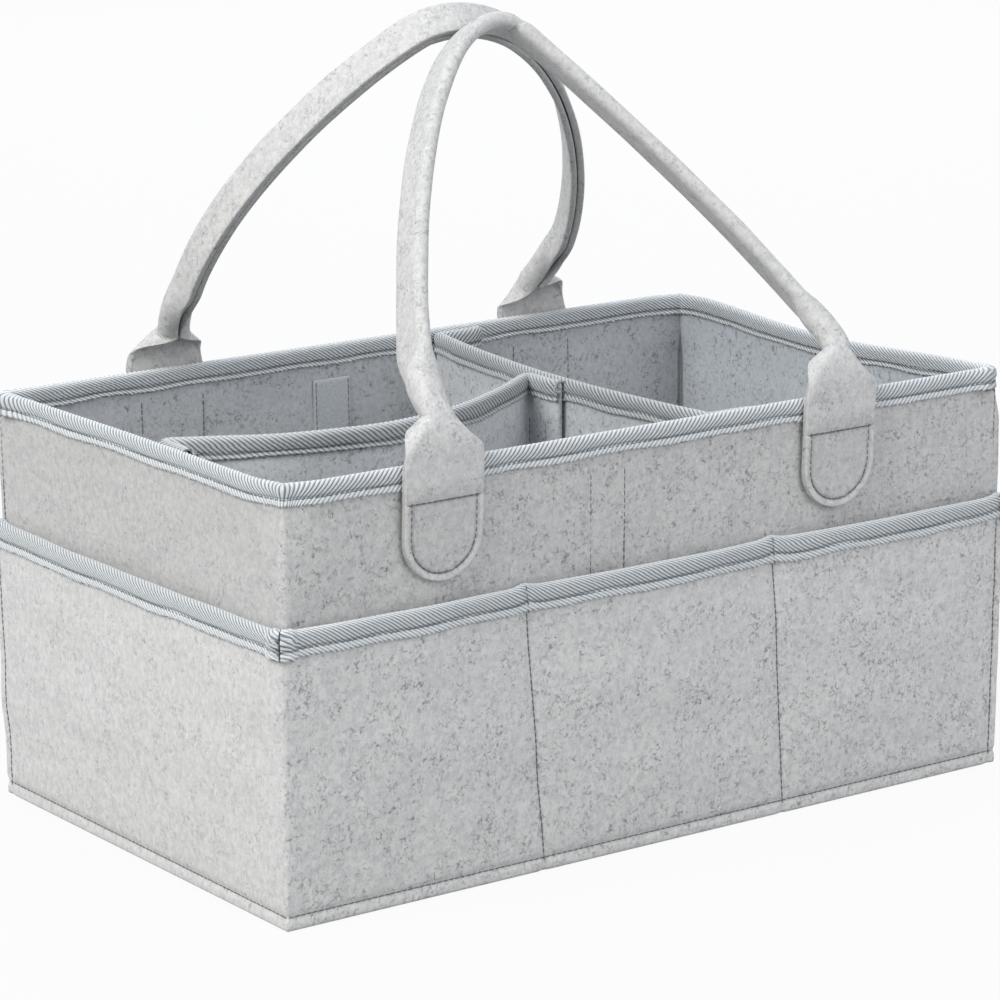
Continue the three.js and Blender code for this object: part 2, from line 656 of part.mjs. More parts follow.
function longDivider() {
  const leftX = feltThickness + dividerSeat - wallHalfLength;
  const share = (longRightY + crossTabY) / (2 * crossTabY);
  const seat = crossAt(share);
  const along = crossAt(share - tabLength / (2 * crossTabY)).sub(seat).normalize();
  const away = new THREE.Vector2(along.y, -along.x);
  const corner = seat.clone().addScaledVector(away, feltThickness / 2 + dividerSeat);
  const tabEnd = corner.clone().addScaledVector(along, tabLength);
  const runAt = (part) => {
    const x = THREE.MathUtils.lerp(leftX, corner.x, part);
    const y = THREE.MathUtils.lerp(longLeftY, corner.y, part) - longBow * Math.sin(Math.PI * part);
    return new THREE.Vector2(x, y);
  };
  const line = planLine([
    { x: leftX, y: longLeftY - tabLength },
    { x: leftX, y: longLeftY, radius: dividerFold, mark: "left" },
    ...bowedRun(runAt),
    { x: corner.x, y: corner.y, radius: dividerFold, mark: "right" },
    { x: tabEnd.x, y: tabEnd.y },
  ]);
  const followWall = (place) => {
    const part = THREE.MathUtils.clamp((place.x - leftX) / (corner.x - leftX), 0, 1);
    return place.setX(place.x - flareAt(place.z) * (1 - part));
  };
  const leftHook = dividerHook("long_divider_hook_left");
  leftHook.rotation.set(flareTilt, 0, -Math.PI / 2, "ZXY");
  leftHook.position.set(leftX - hookOut - flareAt(hookMiddle), longLeftY - hookAlong, hookMiddle);
  const rightHook = dividerHook("long_divider_hook_right");
  const rightPlace = corner.clone().addScaledVector(along, hookAlong).addScaledVector(away, -hookOut);
  rightHook.rotation.z = along.angle();
  rightHook.position.set(rightPlace.x, rightPlace.y, hookMiddle);
  return new THREE.Group().add(...dividerParts("long_divider", line, followWall), leftHook, rightHook);
}

const body = new THREE.Group().add(
  mesh("base_panel", basePanel(), felt),
  mesh("wall_front_left", wallFrontLeft(), felt),
  mesh("wall_back_right", wallBackRight(), felt),
  mesh("rim_binding", rimBinding(), twill),
);

// The edges of the front and left layers stand out at the seams, past the back and right layers
const outerEnds = { edge: edgeReach, seam: seamOut };
const innerEnds = { edge: -layerPitch, seam: -layerPitch - feltThickness };

const frontSide = new THREE.Group().add(
  pocketSide("pocket_front_left", "pocket_binding_front", "pocket_binding_left", outerEnds),
  handle("handle_front", ["handle_tab_front_left", "handle_tab_front_right"], frontArch),
  wallStrip("wall_strip_front", frontStripX),
);

// The back is the front turned round, seen from behind
const backSide = new THREE.Group().add(
  pocketSide("pocket_back_right", "pocket_binding_back", "pocket_binding_right", innerEnds),
  handle("handle_back", ["handle_tab_back_right", "handle_tab_back_left"], backArch),
  wallStrip("wall_strip_back", -backStripX),
);
backSide.rotation.z = Math.PI;

export default new THREE.Group().add(body, frontSide, backSide, crossDivider(), longDivider());
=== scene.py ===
import math

import bmesh
import bpy
import numpy as np
from mathutils import Matrix, Vector


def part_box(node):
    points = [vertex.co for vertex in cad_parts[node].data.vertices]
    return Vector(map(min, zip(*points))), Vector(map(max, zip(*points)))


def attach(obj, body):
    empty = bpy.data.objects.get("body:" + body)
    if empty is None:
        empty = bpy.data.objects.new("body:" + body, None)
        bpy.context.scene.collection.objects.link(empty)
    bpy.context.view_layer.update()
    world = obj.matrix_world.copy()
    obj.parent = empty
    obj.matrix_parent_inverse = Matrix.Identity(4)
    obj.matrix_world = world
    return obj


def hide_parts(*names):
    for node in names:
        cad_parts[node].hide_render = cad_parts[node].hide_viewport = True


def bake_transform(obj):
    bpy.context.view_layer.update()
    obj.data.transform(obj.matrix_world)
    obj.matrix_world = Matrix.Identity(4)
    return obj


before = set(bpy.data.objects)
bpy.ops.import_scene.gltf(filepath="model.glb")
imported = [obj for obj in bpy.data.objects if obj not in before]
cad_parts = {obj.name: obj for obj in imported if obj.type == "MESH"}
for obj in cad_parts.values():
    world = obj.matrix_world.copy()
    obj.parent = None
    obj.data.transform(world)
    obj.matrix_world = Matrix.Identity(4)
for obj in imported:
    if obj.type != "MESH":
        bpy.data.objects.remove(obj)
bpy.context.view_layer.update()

mm = 0.001

# Felt, tape and the gap between layers, as in the frame
felt = 3.0 * mm
half = felt / 2
tapeThick = 1.0 * mm
gap = 0.3 * mm
layer = felt + gap

# Driving places, read from the frame
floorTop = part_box("base_panel")[1].z
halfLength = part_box("base_panel")[1].x + layer
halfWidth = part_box("base_panel")[1].y + layer
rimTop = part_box("rim_binding")[1].z
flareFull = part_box("rim_binding")[1].y - halfWidth - gap - tapeThick
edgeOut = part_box("wall_front_left")[1].x - halfLength
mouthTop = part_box("pocket_binding_front")[1].z
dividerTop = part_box("cross_divider_binding")[1].z
footSeam = floorTop - felt
wallTop = rimTop - tapeThick - gap

# Folds of the walls and the flanges where they lap
cornerRadius = 2.0 * mm
rimRadius = 3.4 * mm
flangeRadius = 5.0 * mm
flange = 14.0 * mm

# How finely lines and edges are cut up
arcStep = 0.4 * mm
endShares = (0, 0.12, 0.4, 1)
closest = 0.12 * mm
thinnest = 0.22
weld = 0.01 * mm

# The hidden sides are the seen ones turned half round
halfTurn = np.array([-1, -1, 1])


def smooth(value, low, high):
    t = np.clip((value - low) / (high - low), 0, 1)
    return t * t * (3 - 2 * t)


def bell(distance, width):
    return np.exp(-((distance / width) ** 2))


def mix(a, b, share):
    return a + (b - a) * share


def xyz(x, y, z):
    return np.stack(np.broadcast_arrays(x, y, z), -1)


def grid(across, up):
    return np.meshgrid(across, up, indexing="ij")


# Slow, seeded unevenness over any coordinates, in metres
def ripple(seed, amount, wave, *coords):
    rng = np.random.default_rng(seed)
    total = 0
    for _ in range(6):
        way = rng.normal(size=len(coords))
        way /= np.linalg.norm(way)
        pace = 2 * math.pi / (wave * rng.uniform(0.6, 1.7))
        phase = rng.uniform(0, 2 * math.pi)
        total = total + np.sin(pace * sum(w * c for w, c in zip(way, coords)) + phase)
    return amount * total / 2.4


def flare(height):
    return flareFull * height / rimTop


# The side walls give way a little between their corners: in and down at the rim
sag = dict(
    right=(4.5 * mm, 3.0 * mm), left=(-3.5 * mm, 1.0 * mm), reach=60 * mm, full=8 * mm, most=1.1, power=1.5,
)
softFold = dict(depth=3.6 * mm, width=10 * mm, reach=40 * mm)


def settle(points):
    x, y, z = points[..., 0], points[..., 1], points[..., 2]
    middle = np.cos(np.clip(y / halfWidth, -1, 1) * math.pi / 2) ** 2
    middle = middle * np.clip(z / rimTop, 0, sag["most"]) ** sag["power"]
    moved = points.copy()
    for side, (depth, drop) in ((1, sag["right"]), (-1, sag["left"])):
        amount = middle * smooth(side * x, halfLength - sag["reach"], halfLength - sag["full"])
        moved[..., 0] -= depth * amount
        moved[..., 2] -= drop * amount
    return moved


# A line on the plan through corners (x, y, radius), with the normal on its left
class PlanLine:
    def __init__(self, corners, loop=False):
        count = len(corners)
        places = [np.array(c[:2], float) for c in corners]
        points, ways, self.marks = [], [], []
        for i, (_, _, radius) in enumerate(corners):
            here = places[i]
            before = places[i - 1] if i or loop else 2 * here - places[i + 1]
            after = places[(i + 1) % count] if i < count - 1 or loop else 2 * here - places[i - 1]
            arriving = (here - before) / np.linalg.norm(here - before)
            leaving = (after - here) / np.linalg.norm(after - here)
            turn = math.atan2(arriving[0] * leaving[1] - arriving[1] * leaving[0], arriving @ leaving)
            entry = here - arriving * radius * math.tan(abs(turn) / 2)
            side = np.array([-arriving[1], arriving[0]]) * math.copysign(1, turn)
            steps = max(1, math.ceil(radius * abs(turn) / arcStep)) if radius else 0
            first = len(points)
            for k in range(steps + 1):
                angle = turn * k / steps if steps else turn / 2
                c, s = math.cos(angle), math.sin(angle)
                spin = np.array([[c, -s], [s, c]])
                points.append(spin @ (-side * radius) + entry + side * radius)
                ways.append(spin @ arriving)
            self.marks.append((first, len(points) - 1))
        if loop:
            points.append(points[0])
            ways.append(ways[0])
        self.points, self.ways = np.array(points), np.array(ways)
        steps = np.linalg.norm(np.diff(self.points, axis=0), axis=1)
        self.along = np.concatenate([[0], np.cumsum(np.maximum(steps, 1e-9))])
        self.length = self.along[-1]
        self.loop, self.folds = loop, []
        self.marks = [(self.along[a], self.along[b]) for a, b in self.marks]

    def middle(self, corner):
        return sum(self.marks[corner]) / 2

    def at(self, along, off):
        along = np.mod(along, self.length) if self.loop else along
        x, y = (np.interp(along, self.along, self.points[:, k]) for k in (0, 1))
        wx, wy = (np.interp(along, self.along, self.ways[:, k]) for k in (0, 1))
        size = np.hypot(wx, wy)
        return x - wy / size * off, y + wx / size * off


def onWall(line, along, off, height):
    for fold in line.folds:
        near = bell(along - line.middle(fold), softFold["width"])
        off = off - softFold["depth"] * near * smooth(height, rimTop - softFold["reach"], rimTop)
    return settle(xyz(*line.at(along, off + flare(height)), height))


# Stations with closer ones round the given places and at rounded ends
def spread(start, end, step, fine=(), reach=5 * mm, fineStep=0.8 * mm, ease=half):
    marks = [start + ease * k for k in endShares] + [end - ease * k for k in endShares]
    for place in fine:
        marks += list(np.arange(place - reach, place + reach + fineStep / 2, fineStep))
    marks += list(np.linspace(start, end, max(2, round((end - start) / step) + 1)))
    kept = []
    for value in sorted(m for m in marks if start <= m <= end):
        if not kept or value - kept[-1] > closest:
            kept.append(value)
    kept[-1] = end
    return np.array(kept)


# Share of the full thickness at a distance from a cut edge
def eased(distance, reach=half):
    t = 1 - np.clip(distance / reach, 0, 1)
    return np.maximum(np.sqrt(np.maximum(1 - t * t, 0)), thinnest)


def linked(name, data):
    made = bpy.data.objects.new(name, data)
    bpy.context.scene.collection.objects.link(made)
    return made


def finished(name, mesh, material, **traits):
    made = linked(name, mesh)
    if not mesh.materials:
        mesh.materials.append(material)
    mesh.polygons.foreach_set("use_smooth", [True] * len(mesh.polygons))
    rest = np.zeros(len(mesh.vertices) * 3, np.float32)
    mesh.vertices.foreach_get("co", rest)
    mesh.attributes.new("rest", "FLOAT_VECTOR", "POINT")
    mesh.attributes["rest"].data.foreach_set("vector", rest)
    for key, values in traits.items():
        mesh.attributes.new(key, "FLOAT", "POINT")
        mesh.attributes[key].data.foreach_set("value", np.ravel(values).astype(np.float32))
    return made


# A closed sheet between two grids of points, with uv along and across it
def slab(name, front, back, uv, material, loop=False, capped=False, **traits):
    rows, columns = front.shape[:2]
    count = rows * columns
    index = np.arange(count).reshape(rows, columns)
    if loop:
        index = np.vstack([index, index[:1]])
    a, b = index[:-1, :-1].ravel(), index[1:, :-1].ravel()
    c, d = index[1:, 1:].ravel(), index[:-1, 1:].ravel()
    faces = [np.stack([a, b, c, d], 1), np.stack([d, c, b, a], 1) + count]
    def side(p, q):
        faces.append(np.stack([p, q, q + count, p + count], 1))
    side(index[1:, 0], index[:-1, 0])
    if capped:
        near, far = index[: rows // 2, -1], index[rows // 2 : rows, -1][::-1]
        cap = np.stack([near[:-1], near[1:], far[1:], far[:-1]], 1)
        faces += [cap, cap[:, ::-1] + count]
    else:
        side(index[:-1, -1], index[1:, -1])
    if not loop:
        side(index[0, :-1], index[0, 1:])
        side(index[-1, 1:], index[-1, :-1])
    faces = np.concatenate(faces)
    points = np.concatenate([front.reshape(-1, 3), back.reshape(-1, 3)])
    p, q, r, s = (points[faces[:, k]] for k in range(4))
    volume = np.einsum("ij,ij->", p, np.cross(q, r)) + np.einsum("ij,ij->", p, np.cross(r, s))
    if volume < 0:
        faces = faces[:, ::-1]
    mesh = bpy.data.meshes.new(name)
    mesh.from_pydata(points.tolist(), [], faces.tolist())
    layerUv = mesh.uv_layers.new(name="UVMap")
    flat = np.concatenate([uv.reshape(-1, 2)] * 2)[faces.ravel()]
    layerUv.data.foreach_set("uv", flat.astype(np.float32).ravel())
    mesh.update()
    pairs = {key: given if isinstance(given, tuple) else (given, given) for key, given in traits.items()}
    both = {key: np.concatenate([np.ravel(side) for side in pair]) for key, pair in pairs.items()}
    return finished(name, mesh, material, **both)


# Felt is darkened towards its cut edges: partly the cut fibres, partly painted shade
rawEdgeShadeSpec = dict(reach=0.6 * mm, share=0.6)


# A panel of felt on edge: place(along, off, height) is a point off the middle of the felt
def panel(name, stations, heights, place, dent=None, shade=(0.0, 0.0), cool=(0.0, 0.0), faint=0.0):
    s, z = grid(stations, heights)
    ends = np.minimum(s - stations[0], stations[-1] - s)
    ease = eased(ends) * eased(np.minimum(z - heights[0], heights[-1] - z))
    press = dent(s, z) if dent else 0
    front, back = place(s, half * ease - press, z), place(s, -half * ease, z)
    # Cut edges darker, partly painted shade
    raw = rawEdgeShadeSpec["share"] * (1 - smooth(ends, 0, rawEdgeShadeSpec["reach"]))
    # Painted shade and a bluish painted shade, one amount for the front faces and one for the back
    shade, cool = (tuple(value + 0 * s for value in pair) for pair in (shade, cool))
    return slab(
        name, front, back, np.stack([s, z], -1), materials["felt"],
        raw=raw, shade=shade, cool=cool, faint=faint + 0 * s,
    )


def joinSurfaces(piece):
    work = bmesh.new()
    work.from_mesh(piece.data)
    bmesh.ops.remove_doubles(work, verts=work.verts, dist=weld)
    bmesh.ops.dissolve_degenerate(work, dist=weld / 2, edges=work.edges)
    work.to_mesh(piece.data)
    work.free()
    piece.data.update()


# Twill tape folded over an edge, its ribs followed by the columns of the grid.
# place(along, off, height) is a point off the middle of the felt; slopes are ribs' run per rise.
def foldedTape(name, place, start, end, top, spec, loop=False):
    outer = half + gap + tapeThick
    drop = outer * spec["crown"]
    legRows = np.linspace(0, 1, spec["legRows"])
    rows = [(outer, mix(top - spec["legOut"], top - drop, t), 1, 0) for t in legRows[:-1]]
    for angle in (math.pi * k / spec["foldRows"] for k in range(spec["foldRows"] + 1)):
        c, s = math.cos(angle), math.sin(angle)
        rows.append((outer * c, top - drop + drop * s, c, s))
    rows += [(-outer, mix(top - drop, top - spec["legIn"], t), -1, 0) for t in legRows[1:]]
    off, z, nOff, nUp = np.array(rows).T
    across = np.concatenate([[0], np.cumsum(np.hypot(np.diff(off), np.diff(z)))])
    across -= across[len(rows) // 2]
    shift = np.where(across < 0, spec["slopeOut"], spec["slopeIn"]) * np.abs(across)
    pitch = spec["pitch"] * math.hypot(1, spec["slopeOut"])
    if loop:
        first, ribs = 0, round((end - start) / pitch)
        pitch = (end - start) / ribs
    else:
        first = math.floor(-shift.max() / pitch)
        ribs = math.ceil((end - start - shift.min()) / pitch) - first + 1
    turn = first + np.repeat(np.arange(ribs), len(spec["phases"])) + np.tile(spec["phases"], ribs)
    u, v = grid(turn, across)
    slant = np.where(v < 0, spec["slant"](start + u * pitch), 1.0)
    s = start + u * pitch + shift * slant
    if not loop:
        s = np.clip(s, start, end)
    rib = spec["relief"] * np.tile(spec["heights"], ribs)[:, None]
    stitchAt = np.minimum(np.abs(v + spec["stitch"]), np.abs(v - spec["stitch"]))
    press = spec["press"] * bell(stitchAt, spec["pressWidth"])
    lapBand = spec["lapReach"] - spec["lapEase"], spec["lapReach"]
    lap = spec["lap"] * sum((1 - smooth(np.abs(s - at), *lapBand) for at in spec["laps"]), 0 * s)
    swell = lap - rib - press
    jitter = np.random.default_rng(spec["seed"]).normal(0, spec["fray"], (len(turn), 2))
    edge = np.zeros_like(v)
    edge[:, [0, -1]] = jitter
    edge = edge - lap * (v < -spec["legFrom"])
    wander = ripple(spec["seed"] + 5, spec["wander"], spec["wave"], s) * (np.abs(v) > spec["legFrom"])
    zed = z + edge + wander
    sides = swell, swell - tapeThick * spec["body"]
    front, back = (place(s, off + nOff * out, zed + nUp * out) for out in sides)
    uv = np.stack([u, v * (twillLook["seam"] / spec["stitch"])], -1)
    # Each tape carries its amount of painted shade
    made = slab(name, front, back, uv, materials["twill"], loop, shade=spec["dim"] + 0 * v)
    if not loop:
        joinSurfaces(made)
    return made


# Shader maths: signals combine with the usual operators
class Signal:
    def __init__(self, tree, socket=None):
        self.tree, self.socket = tree, socket

    def node(self, kind, inputs, output=0, **settings):
        made = self.tree.nodes.new(kind)
        for name, value in settings.items():
            setattr(made, name, value)
        for place, value in inputs:
            if isinstance(value, Signal):
                self.tree.links.new(value.socket, made.inputs[place])
            else:
                made.inputs[place].default_value = value
        return Signal(self.tree, made.outputs[output])

    def math(self, operation, *values):
        return self.node("ShaderNodeMath", enumerate((self,) + values), operation=operation)

    def __add__(self, other):
        return self.math("ADD", other)

    def __sub__(self, other):
        return self.math("SUBTRACT", other)

    def __rsub__(self, other):
        return self * -1 + other

    def __mul__(self, other):
        return self.math("MULTIPLY", other)

    def __truediv__(self, other):
        return self.math("DIVIDE", other)

    def __rtruediv__(self, other):
        return self.math("POWER", -1.0) * other

    def __pow__(self, other):
        return self.math("POWER", other)

    __radd__ = __add__
    __rmul__ = __mul__

    def step(self, low, high):
        span = [(0, self), (1, low), (2, high), (3, 0.0), (4, 1.0)]
        return self.node("ShaderNodeMapRange", span, interpolation_type="SMOOTHSTEP")

    def split(self):
        made = self.node("ShaderNodeSeparateXYZ", [(0, self)]).socket.node
        return [Signal(self.tree, socket) for socket in made.outputs]

    def joined(self, y, z):
        return self.node("ShaderNodeCombineXYZ", [(0, self), (1, y), (2, z)])

    # One number of each point of a mesh, or its three as a vector
    def attribute(self, name, vector=False):
        return self.node("ShaderNodeAttribute", [], 1 if vector else 2, attribute_name=name)

    def noise(self, scale, detail=2.0, roughness=0.5):
        wants = [("Vector", self), ("Scale", scale), ("Detail", detail), ("Roughness", roughness)]
        return self.node("ShaderNodeTexNoise", wants)

    def over(self, under, top):
        wants = [(0, self), (6, under), (7, (*top, 1))]
        return self.node("ShaderNodeMix", wants, 2, data_type="RGBA")

    def colour(self, low, high):
        return self.over((*low, 1), high)

    def bump(self, strength, distance):
        return self.node("ShaderNodeBump", [("Height", self), ("Strength", strength), ("Distance", distance)])


def newMaterial(name, constants):
    made = bpy.data.materials.new(name)
    made.use_nodes = True
    shader = made.node_tree.nodes["Principled BSDF"]
    for key, value in constants.items():
        shader.inputs[key].default_value = value
    tree = Signal(made.node_tree)

    def feed(socket, signal):
        made.node_tree.links.new(signal.socket, shader.inputs[socket])
    return made, tree, feed


def grey(value, blue=0.0):
    return (value * (1 - blue), value, value * (1 + blue))


black = (0.0, 0.0, 0.0)

# Heather felt: pale wool with short dark fibres curling every way, darker near its cut edges: partly the cut
# fibres, partly painted shade
# The bluish colour listed here is the painted shade inside the caddy
feltLook = dict(
    pale=(0.655, 0.638, 0.615), deep=(0.515, 0.505, 0.495), fleck=(0.135, 0.14, 0.15),
    bright=(0.80, 0.79, 0.77), cool=(0.47, 0.55, 0.64), across=800.0, along=230.0, sway=0.006, kink=0.002,
    mostLight=0.5, mostDark=0.75,
)


def feltMaterial():
    look = feltLook
    made, tree, feed = newMaterial(
        "feltWool", {"Roughness": 0.95, "Sheen Weight": 0.2, "Sheen Roughness": 0.6, "Specular IOR Level": 0.12}
    )
    rest = tree.attribute("rest", True)
    raw, shade, cool, faint = (tree.attribute(name) for name in ("raw", "shade", "cool", "faint"))
    x, y, z = rest.split()
    run, depth = x + y, x - y
    warp, curl = rest.noise(140.0, 2.0) - 0.5, rest.noise(370.0, 2.0) - 0.5

    def straight(a, b, size):
        across, along = look["across"] * size, look["along"] * size
        place = (run * a + z * b + warp * look["sway"] + curl * look["kink"]) * across
        other = (z * a - run * b + warp * look["sway"]) * along
        return place.joined(other, depth * across).noise(1.0, 1.5, 0.55)

    def curled(scale, width):
        ridge = 1 - (rest.noise(scale, 1.0, 0.5) - 0.5).math("ABSOLUTE") * width
        return ridge.math("MAXIMUM", 0.0) * rest.noise(scale * 1.37, 1.0, 0.5).step(0.50, 0.62)
    one, two = straight(0.9, 0.45, 1.0), straight(0.4, -0.9, 0.93)
    worms = curled(290.0, 13.0) + curled(410.0, 11.0)
    mottle = rest.noise(300.0, 4.0, 0.65)
    clumps = rest.noise(115.0, 3.0, 0.6).step(0.37, 0.66)
    base = mottle.step(0.26, 0.72).colour(look["deep"], look["pale"])
    light = (one.step(0.40, 0.32) + two.step(0.40, 0.32)) * 0.2
    dark = (one.step(0.60, 0.68) + two.step(0.60, 0.68)) * (clumps * 0.17 + 0.07)
    # Painted light: fainter flecks on the lit left side and on the handles. Cut edges darker, partly the cut
    # fibres and partly painted shade.
    dark = (dark + worms * (clumps * 0.50 + 0.15)) * (1 - faint * 0.45) + raw * (mottle * 0.5)
    toned = light.math("MINIMUM", look["mostLight"]).over(base, look["bright"])
    # Bluish painted shade on faces inside the caddy
    toned = (cool * 0.4).over(toned, look["cool"])
    toned = dark.math("MINIMUM", look["mostDark"]).over(toned, look["fleck"])
    # Painted shade: each piece darkens its felt by its own amount
    feed("Base Color", shade.over(toned, black))
    lint = rest.noise(2400.0, 2.0, 0.7)
    feed("Normal", (one * 0.5 + two * 0.5 + lint * 0.45 + mottle * 0.7).bump(0.5, 0.5 * mm))
    return made


# Twill tape: uv counts ribs along it and goes off the fold to the seam and past it. Its colours: the ribs,
# painted shade in the hollows between them, a painted highlight for the fold and the lower edge, and painted
# shade along the stitch line
twillLook = dict(
    rib=(0.635, 0.65, 0.655), valley=(0.15, 0.17, 0.18), edge=(0.84, 0.85, 0.85), groove=(0.10, 0.11, 0.12),
    seam=8.2, fold=3.2,
)


def twillMaterial():
    look = twillLook
    made, tree, feed = newMaterial(
        "twillTape", {"Roughness": 0.8, "Specular IOR Level": 0.2, "Sheen Weight": 0.15}
    )
    u, v, _ = tree.node("ShaderNodeTexCoord", [], 2).split()
    rest, shade = tree.attribute("rest", True), tree.attribute("shade")
    wander = rest.noise(500.0, 2.0) - 0.5
    phase = (u + wander * 0.12).math("FRACT")
    crest = 1 - (phase - 0.5).math("ABSOLUTE") * 2
    yarn = ((v * 2.3 + u * 0.5 + wander * 0.8).math("FRACT") - 0.5).math("ABSOLUTE") * 2
    fuzz = rest.noise(1500.0, 3.0, 0.65)
    tone = crest.step(0.05, 0.62) * (0.72 + 0.28 * yarn.step(0.1, 0.6)) * (0.6 + fuzz * 0.8)
    # Painted shade in the hollows between the ribs
    colour = tone.math("MINIMUM", 1.0).colour(look["valley"], look["rib"])
    fold = (1 - v.math("ABSOLUTE") / look["fold"]).math("MAXIMUM", 0.0)
    below = v.math("ABSOLUTE") - look["seam"]
    # Painted highlight: lighter along the fold and on the lower edge past the seam
    paintedHighlight = fold * 0.35 * (0.5 + fuzz) + below.step(0.2, 1.3) * (0.1 + fuzz * 0.35)
    colour = paintedHighlight.over(colour, look["edge"])
    # Painted shade along the stitch line
    colour = (below.math("ABSOLUTE").step(0.75, 0.15) * 0.5).over(colour, look["groove"])
    # Painted shade on tapes down inside the caddy
    feed("Base Color", shade.over(colour, black))
    feed("Normal", (crest.step(0.0, 0.7) * 0.7 + yarn * 0.25 + fuzz * 0.5).bump(0.5, 0.35 * mm))
    return made


def plainMaterial(name, low, high, scale, bump, constants):
    made, tree, feed = newMaterial(name, constants)
    grain = tree.attribute("rest", True).noise(scale, 3.0, 0.6)
    feed("Base Color", grain.step(0.3, 0.7).colour(low, high))
    feed("Normal", grain.bump(bump, 0.4 * mm))
    return made


materials = dict(
    felt=feltMaterial(), twill=twillMaterial(),
    hook=plainMaterial(
        "hookTape", grey(0.38, 0.04), grey(0.50, 0.04), 1100.0, 0.8, {"Roughness": 0.85, "Sheen Weight": 0.2}
    ),
    thread=plainMaterial("greyThread", grey(0.10, 0.03), grey(0.20, 0.03), 1800.0, 0.5, {"Roughness": 0.7}),
    wisp=plainMaterial("looseThread", grey(0.55, 0.02), grey(0.75, 0.02), 900.0, 0.3, {"Roughness": 0.8}),
)
print("materials", len(materials))


def ready(piece, body, slot, *nodes):
    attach(piece, body)
    if nodes:
        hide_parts(*nodes)


# A geometry node group: what it is given, a way to add nodes, and the ending that all have
def nodeGroup(name, numbers):
    group = bpy.data.node_groups.new(name, "GeometryNodeTree")
    for label, kind in {"Geometry": "Geometry", **numbers, "Material": "Material"}.items():
        group.interface.new_socket(label, in_out="INPUT", socket_type="NodeSocket" + kind)
    group.interface.new_socket("Geometry", in_out="OUTPUT", socket_type="NodeSocketGeometry")
    given = group.nodes.new("NodeGroupInput").outputs

    def add(kind, inputs, **settings):
        made = group.nodes.new(kind)
        for key, value in settings.items():
            setattr(made, key, value)
        for key, value in inputs.items():
            if isinstance(value, bpy.types.NodeSocket):
                group.links.new(value, made.inputs[key])
            else:
                made.inputs[key].default_value = value
        return made.outputs[0] if len(made.outputs) else made

    def close(geometry):
        real = add("GeometryNodeRealizeInstances", {"Geometry": geometry})
        paint = add("GeometryNodeSetMaterial", {"Geometry": real, "Material": given["Material"]})
        add("NodeGroupOutput", {"Geometry": paint})
        return group
    return given, add, close


# Runs of stitches by nodes: one short lens of thread at each step of a line
def stitchNodes():
    sizes = {label: "Float" for label in ("Pitch", "Length", "Thickness", "Wander")}
    given, add, close = nodeGroup("stitchRun", {**sizes, "Seed": "Int"})
    curve = add("GeometryNodeMeshToCurve", {"Mesh": given["Geometry"]})
    points = add("GeometryNodeResampleCurve", {"Curve": curve, "Length": given["Pitch"]}, mode="LENGTH")
    lens = add("GeometryNodeMeshUVSphere", {"Segments": 6, "Rings": 5, "Radius": 0.5})
    size = add("ShaderNodeCombineXYZ", {0: given["Length"], 1: given["Thickness"], 2: given["Thickness"]})
    shape = add("GeometryNodeTransform", {"Geometry": lens, "Scale": size})
    tangent = add("GeometryNodeInputTangent", {})
    turn = add("FunctionNodeAlignRotationToVector", {"Vector": tangent}, axis="X")
    limits = {0: (-1, -1, -1), 1: (1, 1, 1), "Seed": given["Seed"]}
    chance = add("FunctionNodeRandomValue", limits, data_type="FLOAT_VECTOR")
    spin = add("ShaderNodeVectorMath", {0: chance, "Scale": given["Wander"]}, operation="SCALE")
    wobble = add("FunctionNodeRotateRotation", {0: turn, 1: spin})
    return close(add("GeometryNodeInstanceOnPoints", {"Points": points, "Instance": shape, "Rotation": wobble}))


# Loose threads by nodes: a fine tube along each line
def strandNodes():
    given, add, close = nodeGroup("strandRun", {"Radius": "Float"})
    curve = add("GeometryNodeMeshToCurve", {"Mesh": given["Geometry"]})
    ring = add("GeometryNodeCurvePrimitiveCircle", {"Resolution": 4, "Radius": given["Radius"]})
    return close(add("GeometryNodeCurveToMesh", {"Curve": curve, "Profile Curve": ring, "Fill Caps": True}))


stitchGroup = stitchNodes()
strandGroup = strandNodes()


def runNodes(name, body, lines, group, material, **values):
    points = np.concatenate(lines)
    edges = []
    first = 0
    for line in lines:
        edges += [(first + k, first + k + 1) for k in range(len(line) - 1)]
        first += len(line)
    guide = bpy.data.meshes.new(name + "Guide")
    guide.from_pydata(points.tolist(), edges, [])
    carrier = linked(name + "Guide", guide)
    modifier = carrier.modifiers.new("nodes", "NODES")
    modifier.node_group = group
    given = {s.name: s.identifier for s in group.interface.items_tree if s.in_out == "INPUT"}
    modifier[given["Material"]] = material
    for key, value in values.items():
        modifier[given[key]] = value
    depsgraph = bpy.context.evaluated_depsgraph_get()
    mesh = bpy.data.meshes.new_from_object(carrier.evaluated_get(depsgraph))
    bpy.data.objects.remove(carrier)
    made = finished(name, mesh, material)
    ready(made, body, "thread")
    return made


thread = dict(pitch=2.9 * mm, length=2.9 * mm, thickness=0.55 * mm, wander=0.05)


def stitches(name, body, lines, seed, **changes):
    sizes = {key.capitalize(): value for key, value in {**thread, **changes}.items()}
    return runNodes(name, body, lines, stitchGroup, materials["thread"], Seed=seed, **sizes)


# Loose threads that leave each start along a way, curling and drooping
strand = dict(radius=0.11 * mm, steps=7, curl=0.9, droop=0.35)


def strands(name, body, starts, ways, lengths, seed):
    rng = np.random.default_rng(seed)
    steps, droop = strand["steps"], np.array([0, 0, strand["droop"]])
    lines = []
    for start, heading, length in zip(starts, ways, lengths):
        line = [start]
        swerve = rng.normal(0, strand["curl"], 3)
        for _ in range(steps):
            heading = heading + swerve / steps - droop / steps
            line.append(line[-1] + heading / np.linalg.norm(heading) * length / steps)
        lines.append(np.array(line))
    runNodes(name, body, lines, strandGroup, materials["wisp"], Radius=strand["radius"])


def feltSheet(width, length, share=1.0):
    share * width * length


